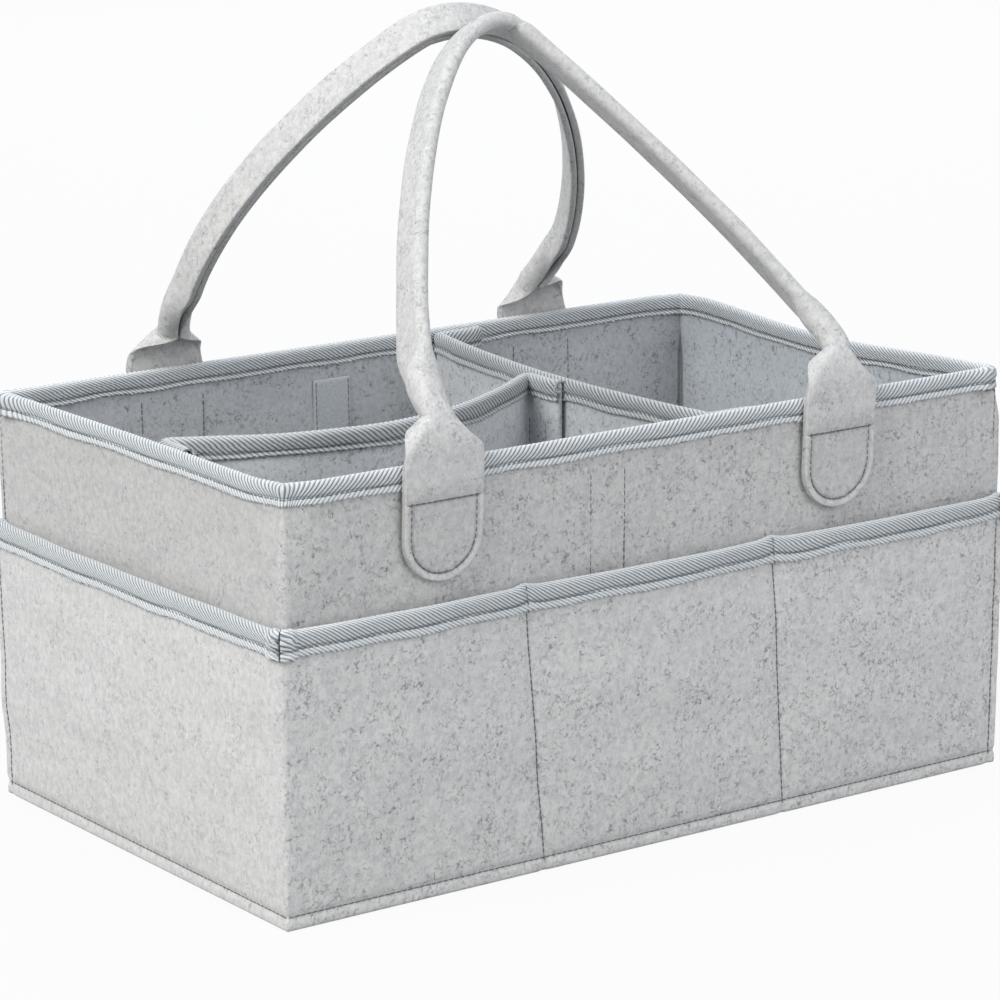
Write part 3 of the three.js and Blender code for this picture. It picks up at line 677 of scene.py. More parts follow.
def tapeSheet(spec, length):
    width = spec["legOut"] + spec["legIn"] + spec["overFold"]


# Floor of the caddy, its edge turned down to the table
floorSpec = dict(
    radius=1.6 * mm, leastRadius=0.6 * mm, points=360, foot=0.4 * mm, edgeSteps=4, underStep=0.2 * mm,
    firstRing=6 * mm, ringStep=5.1 * mm, heart=1 * mm, dish=0.6 * mm, wave=60 * mm, reach=25 * mm, seed=3,
    share=0.97,
)


def floorPanel():
    spec = floorSpec
    outX, outY = halfLength - layer, halfWidth - layer

    def loopAt(inset, z):
        radius = max(spec["radius"] - inset, spec["leastRadius"])
        x, y = outX - inset, outY - inset
        line = PlanLine([(x, -y, radius), (-x, -y, radius), (-x, y, radius), (x, y, radius)], True)
        return xyz(*line.at(np.linspace(0, line.length, spec["points"] + 1)[:-1], 0), z)
    top, under = [], []
    for z in (spec["foot"], footSeam, floorTop - half):
        top.append(loopAt(0, z))
        under.append(loopAt(felt, min(z, footSeam)))
    for k in range(1, spec["edgeSteps"] + 1):
        angle = math.pi / 2 * k / spec["edgeSteps"]
        top.append(loopAt(half * (1 - math.cos(angle)), floorTop - half + half * math.sin(angle)))
        under.append(loopAt(felt + spec["underStep"] * k, footSeam))
    for inset in np.arange(spec["firstRing"], outY - spec["heart"], spec["ringStep"]):
        ring = loopAt(inset, floorTop)
        dish = ripple(spec["seed"], spec["dish"], spec["wave"], ring[:, 0], ring[:, 1])
        ring[:, 2] += dish * smooth(inset, 0, spec["reach"])
        top.append(ring)
        under.append(loopAt(inset, footSeam))
    front, back = (np.array(rings).transpose(1, 0, 2) for rings in (top, under))
    return slab("floor_felt", front, back, front[..., :2], materials["felt"], True, True)


piece = floorPanel()
ready(piece, "caddy", "felt", "base_panel")
feltSheet(2 * halfWidth, 2 * halfLength, floorSpec["share"])
print("floor", len(piece.data.polygons))

# Walls: two lengths of felt that lap at the front right and back left corners
frontLeft = PlanLine([
    (halfLength + edgeOut, -halfWidth, 0),
    (-halfLength, -halfWidth, cornerRadius),
    (-halfLength, halfWidth + edgeOut, 0),
])
backRight = PlanLine([
    (layer - halfLength, halfWidth - flange, 0),
    (layer - halfLength, halfWidth, flangeRadius),
    (halfLength, halfWidth, cornerRadius),
    (halfLength, layer - halfWidth, flangeRadius),
    (halfLength - flange, layer - halfWidth, 0),
])
frontLeft.folds, backRight.folds = [1], [2]
# The walls' amounts of painted shade are listed with their shape: outside and inside, the left side and the
# dark line in the inner corner crease, and how much less bluish painted shade the back part gets
wallSpec = dict(
    step=2.6 * mm, rise=2.6 * mm, fineReach=4.5 * mm, fineStep=0.5 * mm, wave=0.35 * mm, waveLength=50 * mm,
    quiet=(20 * mm, 80 * mm), still=(150 * mm, 172 * mm), finTop=rimTop - 10.5 * mm, finReach=0.6 * mm,
    turn=5 * mm, tuck=0.55, tuckReach=16 * mm, shade=(0.14, 0.22), leftShade=0.05, sideReach=1 * mm,
    crease=0.55, creaseBand=(2.7 * mm, 3.2 * mm), backWarm=0.3,
)


def wall(name, line, inner, seed):
    spec = wallSpec
    corner = line.middle(line.folds[0])
    stations = spread(0, line.length, spec["step"], (*inner, corner), spec["fineReach"], spec["fineStep"])
    heights = spread(0, wallTop, spec["rise"], (footSeam,))

    def place(s, off, z):
        full = smooth(np.minimum(s - inner[0], inner[1] - s), -spec["finReach"], spec["finReach"])
        if line is frontLeft:
            tuck = spec["tuck"] * smooth(z, wallTop - spec["tuckReach"], wallTop)
            s = s + tuck * (np.maximum(edgeOut - s, 0) - np.maximum(s - line.length + edgeOut, 0))
        high = mix(spec["finTop"], wallTop, full)
        low = mix(floorTop + gap, 0, full) if line is backRight else 0
        uneven = ripple(seed, spec["wave"], spec["waveLength"], s, z) * smooth(z, *spec["quiet"])
        uneven = uneven * (1 - smooth(z, *spec["still"]))
        return onWall(line, s, off - half + uneven, mix(low, high, z / wallTop))
    # Painted shade: outer faces darker, the left side of the front-left wall a little more; inside, the back
    # part darker, with a dark line along the inner corner crease. Inside faces get bluish painted shade, less
    # on the back part; the left side gets fainter flecks as painted light.
    outside, inside = spec["shade"]
    reach = spec["sideReach"]
    back = (1 - smooth(stations - line.marks[2][0], -reach, reach))[:, None]
    left = smooth(stations - line.marks[1][1], -reach, reach)[:, None] * (line is frontLeft)
    crease = (1 - smooth(np.abs(stations - corner), *spec["creaseBand"]))[:, None]
    shade = outside + spec["leftShade"] * left, np.maximum(inside * back, spec["crease"] * crease)
    cool = 0, 1 - spec["backWarm"] * back
    return panel(name, stations, heights, place, shade=shade, cool=cool, faint=left)


frontEnds = (edgeOut + wallSpec["turn"], frontLeft.length - edgeOut - wallSpec["turn"])
backEnds = (backRight.marks[1][1], backRight.marks[3][0])
for name, line, ends, seed, node in (
    ("front_left_wall", frontLeft, frontEnds, 11, "wall_front_left"),
    ("back_right_wall", backRight, backEnds, 12, "wall_back_right"),
):
    piece = wall(name, line, ends, seed)
    ready(piece, "caddy", "felt", node)
    feltSheet(wallTop, line.length)
print("walls", len(piece.data.polygons))

# Pocket layers, sewn to the walls at the foot, the corners and two upright seams
pocketSpec = dict(
    step=2.2 * mm, rise=2.4 * mm, fineStep=0.6 * mm, middle=63.3 * mm, top=mouthTop - tapeThick - gap,
    stand=3.1 * mm, corner=1.0 * mm, cornerReach=3 * mm, bulge=2.6 * mm, power=2.5, flat=12 * mm,
    wave=0.45 * mm, waveLength=42 * mm, quiet=(8 * mm, 40 * mm), press=0.9 * mm, pressWidth=1.7 * mm,
    pinch=1.0 * mm, pinchWidth=1.6 * mm, lift=1.0 * mm, liftWidth=4.8 * mm, mouth=(16 * mm, 4 * mm),
)


# The upright seams stray sideways, by one amount at the foot and another at the mouth
def pocketLine(edge, inset, seed, *strays):
    front, left = (-place - pocketSpec["stand"] for place in (halfWidth, halfLength))
    fold = (left, front, pocketSpec["corner"])
    line = PlanLine([(halfLength + edge, front, 0), fold, (left, halfWidth + edge, 0)])
    centre, middle = halfLength + edge, pocketSpec["middle"]
    line.seams = [inset, centre - middle, centre + middle, line.length - inset]
    foldStart, foldEnd = line.marks[1]
    line.pockets = [line.seams[:2], line.seams[1:3], [line.seams[2], foldStart], [foldEnd, line.seams[3]]]
    line.corner, line.seed, line.strays = line.middle(1), seed, strays
    return line


def pocketRise(z):
    return np.clip((z - footSeam) / (mouthTop - footSeam), 0, 1)


# Middle of a pocket layer off the outer face of the wall: flat at the seams, out between them
def pocketOut(line, s, z):
    spec = pocketSpec
    out = gap + half + (tapeThick + gap) * smooth(z, footSeam, mouthTop - spec["flat"])
    swell = 1 - (1 - pocketRise(z)) ** spec["power"]
    for begin, end in line.pockets:
        across = np.sin(math.pi * np.clip((s - begin) / (end - begin), 0, 1))
        out = out + spec["bulge"] * across * swell
    return out + ripple(line.seed, spec["wave"], spec["waveLength"], s, z) * smooth(z, *spec["quiet"])


def pocketPress(line, s, z):
    press = bell(z - footSeam, pocketSpec["pressWidth"])
    for seam in line.seams:
        press = np.maximum(press, bell(s - seam, pocketSpec["pressWidth"]))
    return pocketSpec["press"] * press


def askew(line, s, z):
    places = [*line.seams[:3], line.corner]
    foot, mouth = (np.interp(s, places, [0, *stray, 0]) for stray in line.strays)
    return s + mix(foot, mouth, pocketRise(z))


def pocketPlace(line, turned):
    spec = pocketSpec

    def atSeams(s, key):
        return spec[key] * sum(bell(s - seam, spec[key + "Width"]) for seam in line.seams)

    def place(s, off, z):
        high = smooth(z, *(mouthTop - below for below in spec["mouth"]))
        out = off - spec["stand"] - atSeams(s, "pinch") * high + pocketOut(line, s, z)
        points = onWall(line, askew(line, s, z), out, z + atSeams(s, "lift") * high)
        return settle(points * halfTurn) if turned else points
    return place


def pockets(name, line, turned):
    spec = pocketSpec
    stations = spread(0, line.length, spec["step"], (*line.seams, line.corner), fineStep=spec["fineStep"])
    heights = spread(0, spec["top"], spec["rise"], (footSeam,))
    # Past the corner the flecks are fainter: painted light on the side faces
    faint = smooth(stations - line.corner, -spec["cornerReach"], spec["cornerReach"])[:, None]
    return panel(
        name, stations, heights, pocketPlace(line, turned), lambda s, z: pocketPress(line, s, z), faint=faint
    )


frontPockets = pocketLine(edgeOut, 4 * mm, 21, (-4.5 * mm, -2 * mm), (5 * mm, 9.5 * mm))
backPockets = pocketLine(-layer, felt, 22, (0, 0), (0, 0))
for name, line, turned, node in (
    ("front_left_pockets", frontPockets, False, "pocket_front_left"),
    ("back_right_pockets", backPockets, True, "pocket_back_right"),
):
    piece = pockets(name, line, turned)
    ready(piece, "caddy", "felt", node)
    feltSheet(mouthTop, line.length)
print("pockets", len(piece.data.polygons))

# Tape round the rim, and what all tapes share
tapeSpec = dict(
    legOut=9.2 * mm, legIn=9.2 * mm, overFold=3 * mm, legFrom=5 * mm, legRows=9, foldRows=7, crown=0.92,
    body=0.8, pitch=1.65 * mm, slopeOut=1.0, slopeIn=1.6, slant=lambda s: 1.0, slantReach=25 * mm,
    phases=(0.0, 0.22, 0.5, 0.78), heights=(1.0, 0.25, 0.0, 0.25), relief=0.36 * mm, stitch=8.1 * mm,
    press=0.6 * mm, pressWidth=1.1 * mm, dim=0.0, fray=0.2 * mm, wander=0.35 * mm, wave=45 * mm, seed=31,
    lap=0.7 * mm, lapReach=5 * mm, lapEase=0.8 * mm, laps=(), corner=2.2 * mm, cornerWidth=9 * mm,
)
rimX, rimY = halfLength - half, halfWidth - half
rimLine = PlanLine([
    (rimX, -rimY, flangeRadius - half),
    (-rimX, -rimY, rimRadius - half),
    (-rimX, rimY, flangeRadius - half),
    (rimX, rimY, rimRadius - half),
], True)
rimLine.folds = [1, 3]


# The tape is thicker round the two lapped corners
def rimPlace(s, off, z):
    for lapped in (0, 2):
        away = np.mod(s - rimLine.middle(lapped) + rimLine.length / 2, rimLine.length) - rimLine.length / 2
        off = off + tapeSpec["corner"] * bell(np.abs(away), tapeSpec["cornerWidth"]) * smooth(off, 0, half)
    return onWall(rimLine, s, off, z)


# The ribs lean the other way along the left side
def rimSlant(s):
    reach = tapeSpec["slantReach"]
    past = [smooth(s - rimLine.middle(corner), -reach, reach) for corner in (1, 2)]
    return 1 - 2 * (past[0] - past[1])


piece = foldedTape("rim_tape", rimPlace, 0, rimLine.length, rimTop, {**tapeSpec, "slant": rimSlant}, True)
ready(piece, "caddy", "twill_tape", "rim_binding")
tapeSheet(tapeSpec, rimLine.length)
print("rim tape", len(piece.data.polygons))

# Tape over the pocket mouths: a long run at the front and back, a short one at the sides
mouthSpec = {
    **tapeSpec, "legOut": 10.6 * mm, "slopeOut": -1.5, "slopeIn": -1.5, "pitch": 1.35 * mm, "stitch": 9.0 * mm,
    "apart": 0.05 * mm,
}
for line, turned, layerName, sides, seed in (
    (frontPockets, False, "front_left_pockets", ("front", "left"), 41),
    (backPockets, True, "back_right_pockets", ("back", "right"), 48),
):
    ends = line.corner - mouthSpec["apart"], line.corner + mouthSpec["apart"]
    runs = (0, ends[0]), (ends[1], line.length)
    for k, side in enumerate(sides):
        spec = {**mouthSpec, "seed": seed + 2 * k, "laps": (ends[k],)}
        piece = foldedTape(side + "_mouth_tape", pocketPlace(line, turned), *runs[k], mouthTop, spec)
        ready(piece, "caddy", "twill_tape", "pocket_binding_" + side)
        tapeSheet(spec, runs[k][1] - runs[k][0])
print("mouth tapes", len(piece.data.polygons))

# Handles: a strip sewn flat at both ends, drawn together above the rim and folded in half along the arch
# The handle felt gets painted shade all over and more near its foot, and fainter flecks as painted light
handleSpec = dict(
    stripWidth=39 * mm, foldedWidth=32 * mm, slit=0.7 * mm, stand=12 * mm, bend=30 * mm, aboveRim=152 * mm,
    apart=4.7 * mm, flatAbove=0, neckAbove=20 * mm, foldLength=32 * mm, neckFlat=4 * mm, creaseFlat=0.3 * mm,
    curl=5 * mm, curlPower=1.3, neckPower=2.6, twistDepth=7 * mm, twistBelow=8 * mm, twistAbove=30 * mm,
    crownLength=35 * mm, legSteps=34, archSteps=118, turnSteps=9, sideSteps=7, cut=0.55 * mm, rawReach=0.5 * mm,
    leastSide=2.2 * mm, leastDrawn=0.02, uneven=0.07, wave=26 * mm, inset=3.5 * mm, press=0.9 * mm,
    sunk=0.45 * mm, puff=0.9 * mm, puffAt=7 * mm, puffWidth=5 * mm, puffEdge=6 * mm, seamWidth=1.0 * mm,
    seamReach=6 * mm, creaseAt=2 * mm, creaseLength=3 * mm, creaseWidth=6 * mm, shade=0.08, footShade=0.05,
    footReach=20 * mm, faint=0.8, blend=(1 * mm, 9 * mm), share=0.85,
)
# Sewn ends: painted shade a little over the whole end, more inside the D and most along the stitched line
tabSpec = dict(
    tip=(6, 10, 14), sweep=(18, 90, 20), rows=12, below=3 * mm, last=(2.2, 1.5, 0.9, 0.4), leastWide=3 * mm,
    lineWidth=0.8 * mm, lineEdge=2 * mm, sunkReach=2 * mm, band=0.5 * mm, shade=0.05, within=0.1, line=0.35,
    threadDepth=0.75,
)
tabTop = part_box("handle_tab_front_left")[1].z + gap
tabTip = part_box("handle_tab_front_left")[0].z
# Each leg: how far its neck is drawn in and leans out above, how far leg and crown keep their way, its twist
# and where it is wider or narrower (amount, above the neck, reach, in mm)
arches = {
    "front": dict(
        reach=104 * mm, shift=-8.5 * mm, sway=7 * mm, slope=-0.45, seed=51, crease=1.1 * mm, legs=(
            dict(
                neckIn=3.0 * mm, lean=9 * mm, leg=26 * mm, crown=46 * mm, twist=math.radians(6),
                spare=((5, 24, 18), (-4, 0, 9)),
            ),
            dict(
                neckIn=-5.0 * mm, lean=9 * mm, leg=20 * mm, crown=12 * mm, twist=math.radians(26),
                spare=((-7, 10, 18),),
            ),
        ),
    ),
    "back": dict(
        reach=102 * mm, shift=1 * mm, sway=32 * mm, slope=-0.32, seed=52, crease=0.4 * mm, legs=(
            dict(neckIn=6 * mm, lean=22 * mm, leg=55 * mm, crown=67 * mm, twist=math.radians(-13), spare=()),
            dict(neckIn=0.5 * mm, lean=25 * mm, leg=87 * mm, crown=12.5 * mm, twist=math.radians(-4), spare=()),
        ),
    ),
}


# Radius that turns each side of the strip far enough for its edges to meet
def closingRadius(flat, turn, width):
    meet = half * np.sin(turn) + handleSpec["slit"] / 2
    side = width / 2 - flat
    return (meet - flat - side * np.cos(turn)) / (np.sin(turn) - turn * np.cos(turn))


class Handle:
    def __init__(self, side):
        self.arch = arches[side]
        self.turned = side == "back"
        spec = handleSpec
        self.face = halfWidth + flareFull + tapeThick + 2 * gap
        self.corner = np.array([-self.face - half, rimTop + spec["stand"]])
        crease = spec["creaseFlat"] / 2
        closing = closingRadius(crease, math.pi / 2, spec["foldedWidth"])
        depth = spec["foldedWidth"] / 2 - crease - closing * (math.pi / 2 - 1)
        toCrown = np.array([-spec["apart"] / 2, rimTop + spec["aboveRim"]]) - self.corner
        reach = np.linalg.norm(toCrown)
        self.lean = math.atan2(*toCrown) - math.asin(depth / reach)
        bendReach = spec["bend"] * math.tan(self.lean / 2)
        self.bendStart = self.corner[1] - bendReach - tabTop
        self.bendEnd = self.bendStart + spec["bend"] * self.lean
        self.crownRise = self.bendEnd - bendReach + math.sqrt(reach**2 - depth**2)
        self.flat = rimTop + spec["flatAbove"] - tabTop
        self.neck = rimTop + spec["neckAbove"] - tabTop
        self.stations()
        self.fold()

    # Middle of a leg's foot, and the outer face of what a sewn end lies on
    def foot(self, side):
        return self.arch["shift"] + side * self.arch["reach"]

    def bed(self, z):
        share = np.clip((z - tabTip) / (tabTop - tabTip), 0, 1)
        return mix(halfWidth + flare(tabTip) + gap, self.face, share)

    # Place up the sloping plane, with the ways up and out
    def onLean(self, rise):
        bend = handleSpec["bend"]
        angle = np.clip((rise - self.bendStart) / bend, 0, self.lean)
        up = np.stack([0 * angle, np.sin(angle), np.cos(angle)], -1)
        out = np.stack([0 * angle, -np.cos(angle), np.sin(angle)], -1)
        y = self.corner[0] + bend * (1 - np.cos(angle))
        z = tabTop + np.minimum(rise, self.bendStart) + bend * np.sin(angle)
        place = np.stack([0 * angle, y, z], -1) + up * np.maximum(rise - self.bendEnd, 0)[..., None]
        return place, up, out

    # One leg on the plane, from the seam below the rim to the crown, with its distance from the neck
    def leg(self, side):
        arch, spec = self.arch, handleSpec
        own = arch["legs"][0 if side < 0 else 1]
        foot = self.foot(side)
        rise = np.linspace(0, self.neck, spec["legSteps"])[:-1]
        low = np.stack([foot - side * own["neckIn"] * (rise / self.neck) ** spec["neckPower"], rise], -1)
        pull = -spec["neckPower"] * side * own["neckIn"] / self.neck * smooth(rise, self.flat, self.neck)
        lowWay = np.stack([pull, 1 + 0 * rise], -1)
        p0 = np.array([foot - side * own["neckIn"], self.neck])
        p1 = p0 + [side * own["lean"], own["leg"]]
        p3 = np.array([arch["shift"] + arch["sway"], self.crownRise])
        p2 = p3 + side * own["crown"] * np.array([1, arch["slope"]])
        t = np.linspace(0, 1, spec["archSteps"])[:, None]
        high = (1 - t) ** 3 * p0 + 3 * (1 - t) ** 2 * t * p1 + 3 * (1 - t) * t * t * p2 + t**3 * p3
        highWay = (1 - t) ** 2 * (p1 - p0) + 2 * (1 - t) * t * (p2 - p1) + t * t * (p3 - p2)
        steps = np.linalg.norm(np.diff(high, axis=0), axis=1)
        far = np.concatenate([rise - self.neck, [0], np.cumsum(steps)])
        way = np.concatenate([lowWay, highWay])
        return np.concatenate([low, high]), way / np.linalg.norm(way, axis=1)[:, None], far

    def stations(self):
        spec = handleSpec
        leftPlace, leftWay, leftFar = self.leg(-1)
        rightPlace, rightWay, rightFar = self.leg(1)
        self.places = np.concatenate([leftPlace, rightPlace[::-1][1:]])
        ways = np.concatenate([leftWay, -rightWay[::-1][1:]])
        self.fromNeck = np.concatenate([leftFar, rightFar[::-1][1:]])
        self.pastCrown = np.concatenate([leftFar - leftFar[-1], (rightFar[-1] - rightFar)[::-1][1:]])
        left, right = (leg["twist"] for leg in self.arch["legs"])
        share = smooth(self.pastCrown, -spec["crownLength"], spec["crownLength"])
        self.twist = mix(left, right, share) * smooth(self.fromNeck, -spec["twistBelow"], spec["twistAbove"])
        self.base, up, self.out = self.onLean(self.places[:, 1])
        self.inward = up * -ways[:, :1]
        self.inward[:, 0] += ways[:, 1]
        self.base[:, 0] = self.places[:, 0]

    # Half width, half flat, turn and radius of the strip's section at each station
    def fold(self):
        spec = handleSpec
        folded = smooth(self.fromNeck, 0, spec["foldLength"])
        drawn = np.clip(1 + self.fromNeck / (self.neck - self.flat), 0, 1)
        width = mix(spec["stripWidth"], spec["foldedWidth"], drawn)
        for own, leg in zip((self.pastCrown < 0, self.pastCrown >= 0), self.arch["legs"]):
            for amount, at, reach in leg["spare"]:
                width = width + own * drawn * amount * mm * bell(self.fromNeck - at * mm, reach * mm)
        self.halfStrip = width / 2
        opening = mix(self.halfStrip, spec["neckFlat"] / 2, drawn ** spec["curlPower"])
        closed = mix(spec["neckFlat"], spec["creaseFlat"], folded) / 2
        self.turnTo = math.pi * (1 - folded / 2)
        shut = closingRadius(spec["neckFlat"] / 2, math.pi, width)
        above = self.fromNeck >= 0
        self.halfFlat = np.where(above, closed, np.minimum(opening, self.halfStrip - spec["leastSide"]))
        self.radius = np.where(above, closingRadius(closed, self.turnTo, width), mix(spec["curl"], shut, drawn))
        self.turnTo = np.where(drawn > spec["leastDrawn"], self.turnTo, 0.0)

    def turn(self, points):
        return points * halfTurn if self.turned else points


# Places across the strip, close where it turns and at its cut edges
def stripColumns(flat, turning, reach):
    spec = handleSpec
    cut = spec["cut"] * np.array([1, 0.45, 0.15, 0])
    bent = min(max(turning, 0.1 * reach), 0.85 * reach, reach - 2 * spec["cut"])
    arc = np.linspace(0, bent, spec["turnSteps"] + 1)
    straight = np.linspace(bent, reach - spec["cut"], spec["sideSteps"] + 1)[1:-1]
    one = np.concatenate([flat * np.array([0, 0.5]), flat + arc, flat + straight, flat + reach - cut])
    return np.concatenate([-one[:0:-1], one])


# Rows of the strip above its seams: front, back, how much the cut edges darken (partly painted shade) and how
# much painted shade it gets
def archRows(handle):
    spec, arch = handleSpec, handle.arch
    fronts, backs, rawEdgeShades, shades = [], [], [], []
    for k, place in enumerate(handle.base):
        flat, radius, turnTo = handle.halfFlat[k], handle.radius[k], handle.turnTo[k]
        a = stripColumns(flat, turnTo * radius, handle.halfStrip[k] - flat)
        size, sign = np.abs(a), np.sign(a)
        past = np.maximum(size - flat, 0)
        turned = np.clip(past / radius, 0, turnTo)
        straight = np.maximum(past - turnTo * radius, 0)
        edge = handle.halfStrip[k] - size
        ease = eased(edge, spec["cut"])
        rise = handle.places[k, 1]
        uneven = 1 + ripple(arch["seed"], spec["uneven"], spec["wave"], handle.fromNeck[k], a)
        puff = spec["puff"] * bell(rise - spec["puffAt"], spec["puffWidth"])
        swell = puff * smooth(edge, 0, spec["puffEdge"])
        swell = swell - spec["press"] * bell(rise, spec["seamWidth"]) * (rise < spec["seamReach"])
        crown = bell(handle.pastCrown[k] - spec["creaseAt"], spec["creaseLength"])
        swell = swell - arch["crease"] * crown * bell(past, spec["creaseWidth"])
        c, s = math.cos(handle.twist[k]), math.sin(handle.twist[k])
        for off, kept in ((half * ease * uneven + swell, fronts), (-half * ease, backs)):
            x = sign * (np.minimum(size, flat) + (radius + off) * np.sin(turned) + straight * np.cos(turnTo))
            y = (radius + off) * np.cos(turned) - radius - straight * np.sin(turnTo) + spec["twistDepth"]
            sideways, outward = x * c + y * s, y * c - x * s - spec["twistDepth"]
            kept.append(place + sideways[:, None] * handle.inward[k] + outward[:, None] * handle.out[k])
        # Cut edges darker, partly painted shade
        rawEdgeShades.append(1 - smooth(edge, 0, spec["rawReach"]))
        # Painted shade: a little over the whole strip, more near its foot
        shades.append(0 * a + spec["shade"] + spec["footShade"] * (1 - smooth(rise, 0, spec["footReach"])))
    return fronts, backs, rawEdgeShades, shades


# The same for a sewn end, pressed inside its stitches, with painted shade inside the D and along the stitched
# line
def tabRows(handle, side):
    spec, tab = handleSpec, tabSpec
    radius, inset, least = spec["stripWidth"] / 2, spec["inset"], tab["leastWide"]
    centre = tabTip + radius
    angles = np.radians(np.concatenate([tab["tip"], np.linspace(*tab["sweep"])]))
    rows = [(centre - radius * math.cos(a), radius * math.sin(a)) for a in angles]
    rows += [(z, radius) for z in np.linspace(centre, tabTop - tab["below"], tab["rows"])[1:]]
    rows += [(tabTop - below * mm, radius) for below in tab["last"]]
    fronts, backs, rawEdgeShades, shades = [], [], [], []
    for z, wide in rows:
        a = stripColumns(wide / 2, 0, max(wide / 2, least)) * (wide / max(wide, wide / 2 + least))
        edge = np.where(z < centre, radius - np.hypot(a, z - centre), radius - np.abs(a))
        fold = bell(z - tabTop, spec["seamWidth"]) * (edge > tab["lineEdge"])
        line = np.maximum(bell(edge - inset, tab["lineWidth"]), fold)
        press = np.maximum(spec["press"] * line, spec["sunk"] * smooth(edge, inset, inset + tab["sunkReach"]))
        ease = eased(edge, spec["cut"])
        for off, kept in ((half + half * ease - press, fronts), (half - half * ease, backs)):
            kept.append(xyz(handle.foot(side) + a, -handle.bed(z) - off, z))
        # Cut edges darker, partly painted shade
        rawEdgeShades.append(1 - smooth(edge, 0, spec["rawReach"]))
        # Painted shade inside the D and along the stitched line
        within = smooth(edge, inset - tab["band"], inset + tab["band"])
        shades.append(tab["shade"] + tab["within"] * within + tab["line"] * line)
    return fronts, backs, rawEdgeShades, shades


def handlePiece(name, handle):
    parts = zip(tabRows(handle, -1), archRows(handle), tabRows(handle, 1))
    front, back, raw, shade = (
        np.array(left + arch + [row[::-1] for row in right[::-1]]) for left, arch, right in parts
    )
    uv = np.stack(grid(*(np.arange(count) for count in raw.shape)), -1) * mm
    return slab(
        name, handle.turn(front), handle.turn(back), uv, materials["felt"],
        raw=raw, shade=shade, faint=handleSpec["faint"] + 0 * raw,
    )


# Lines of stitches round the sewn ends: round the D on both faces of the wall, and along the fold
def handleStitches(handle):
    lines = []
    inset = handleSpec["stripWidth"] / 2 - handleSpec["inset"]
    centre = tabTip + handleSpec["stripWidth"] / 2
    sunk = felt - handleSpec["press"] * tabSpec["threadDepth"]
    sweep = np.radians(np.linspace(180, 360, 40))
    across = np.concatenate([[-inset], inset * np.cos(sweep), [inset]])
    up = np.concatenate([[tabTop], centre + inset * np.sin(sweep), [tabTop]])
    for side in (-1, 1):
        x = handle.foot(side)
        lines.append(xyz(x + across, -handle.bed(up) - sunk, up))
        lines.append(xyz(x + across, felt - halfWidth - flare(up), up))
        lines.append(xyz(x + np.linspace(-inset, inset, 12), -handle.bed(tabTop) - sunk, tabTop))
    return [handle.turn(line) for line in lines]


endStitches = []
for side in ("front", "back"):
    handle = Handle(side)
    piece = handlePiece(side + "_handle", handle)
    hingeY = (handle.face + felt) * (1 if handle.turned else -1)
    below, above = handleSpec["blend"]
    "handle_" + side
    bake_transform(piece)
    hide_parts("handle_" + side, "handle_tab_" + side + "_left", "handle_tab_" + side + "_right")
    length = 2 * (tabTop - tabTip + handle.neck) + handle.fromNeck.max() * 2
    endStitches += handleStitches(handle)
piece = stitches("handle_end_stitches", "caddy", endStitches, 61, thickness=0.7 * mm, length=3.0 * mm)
print("handles", len(piece.data.polygons))

# Hook-and-loop tape: a strip between two edges and two heights, place(along, depth, height) on its bed
hookSpec = dict(step=1 * mm, rise=2 * mm, ease=0.4 * mm, inset=1.2 * mm, threadEnd=2 * mm, sunk=0.05 * mm)


def hookStrip(name, body, node, edges, heights, place):
    ease = hookSpec["ease"]
    u, z = grid(spread(*edges, hookSpec["step"], ease=ease), spread(*heights, hookSpec["rise"], ease=ease))
    rim = np.minimum.reduce([u - edges[0], edges[1] - u, z - heights[0], heights[1] - z])
    front, back = place(u, tapeThick * eased(rim, ease), z), place(u, 0 * u, z)
    piece = slab(name, front, back, np.stack([u, z], -1), materials["hook"])
    ready(piece, body, "hook_tape", node)
    lines = [edges[0] + hookSpec["inset"], edges[1] - hookSpec["inset"]]
    return lines, np.linspace(heights[0] + hookSpec["threadEnd"], heights[1] - hookSpec["threadEnd"], 60)


# Strips sewn upright inside the front and back walls
stripSpec = dict(width=20 * mm, foot=floorTop + 5 * mm, top=rimTop - 16 * mm, behindMouth=4 * mm)
stripLines = []
for side, sign in (("front", -1), ("back", 1)):
    lo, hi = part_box("wall_strip_" + side)
    middle = (lo.x + hi.x) / 2

    def onStripWall(a, depth, z):
        return xyz(middle + a, sign * (halfWidth - felt + flare(z) - gap - depth), z)
    edges = (-stripSpec["width"] / 2, stripSpec["width"] / 2)
    heights = (stripSpec["foot"], stripSpec["top"])
    sewn, z = hookStrip(side + "_wall_strip", "caddy", "wall_strip_" + side, edges, heights, onStripWall)
    shown = z[z > mouthTop - stripSpec["behindMouth"]]
    for a in sewn:
        stripLines.append(onStripWall(a, tapeThick, z))
        stripLines.append(xyz(middle + a, sign * (halfWidth + flare(shown) - hookSpec["sunk"]), shown))
piece = stitches("strip_stitches", "caddy", stripLines, 62)
print("strips", len(piece.data.polygons))

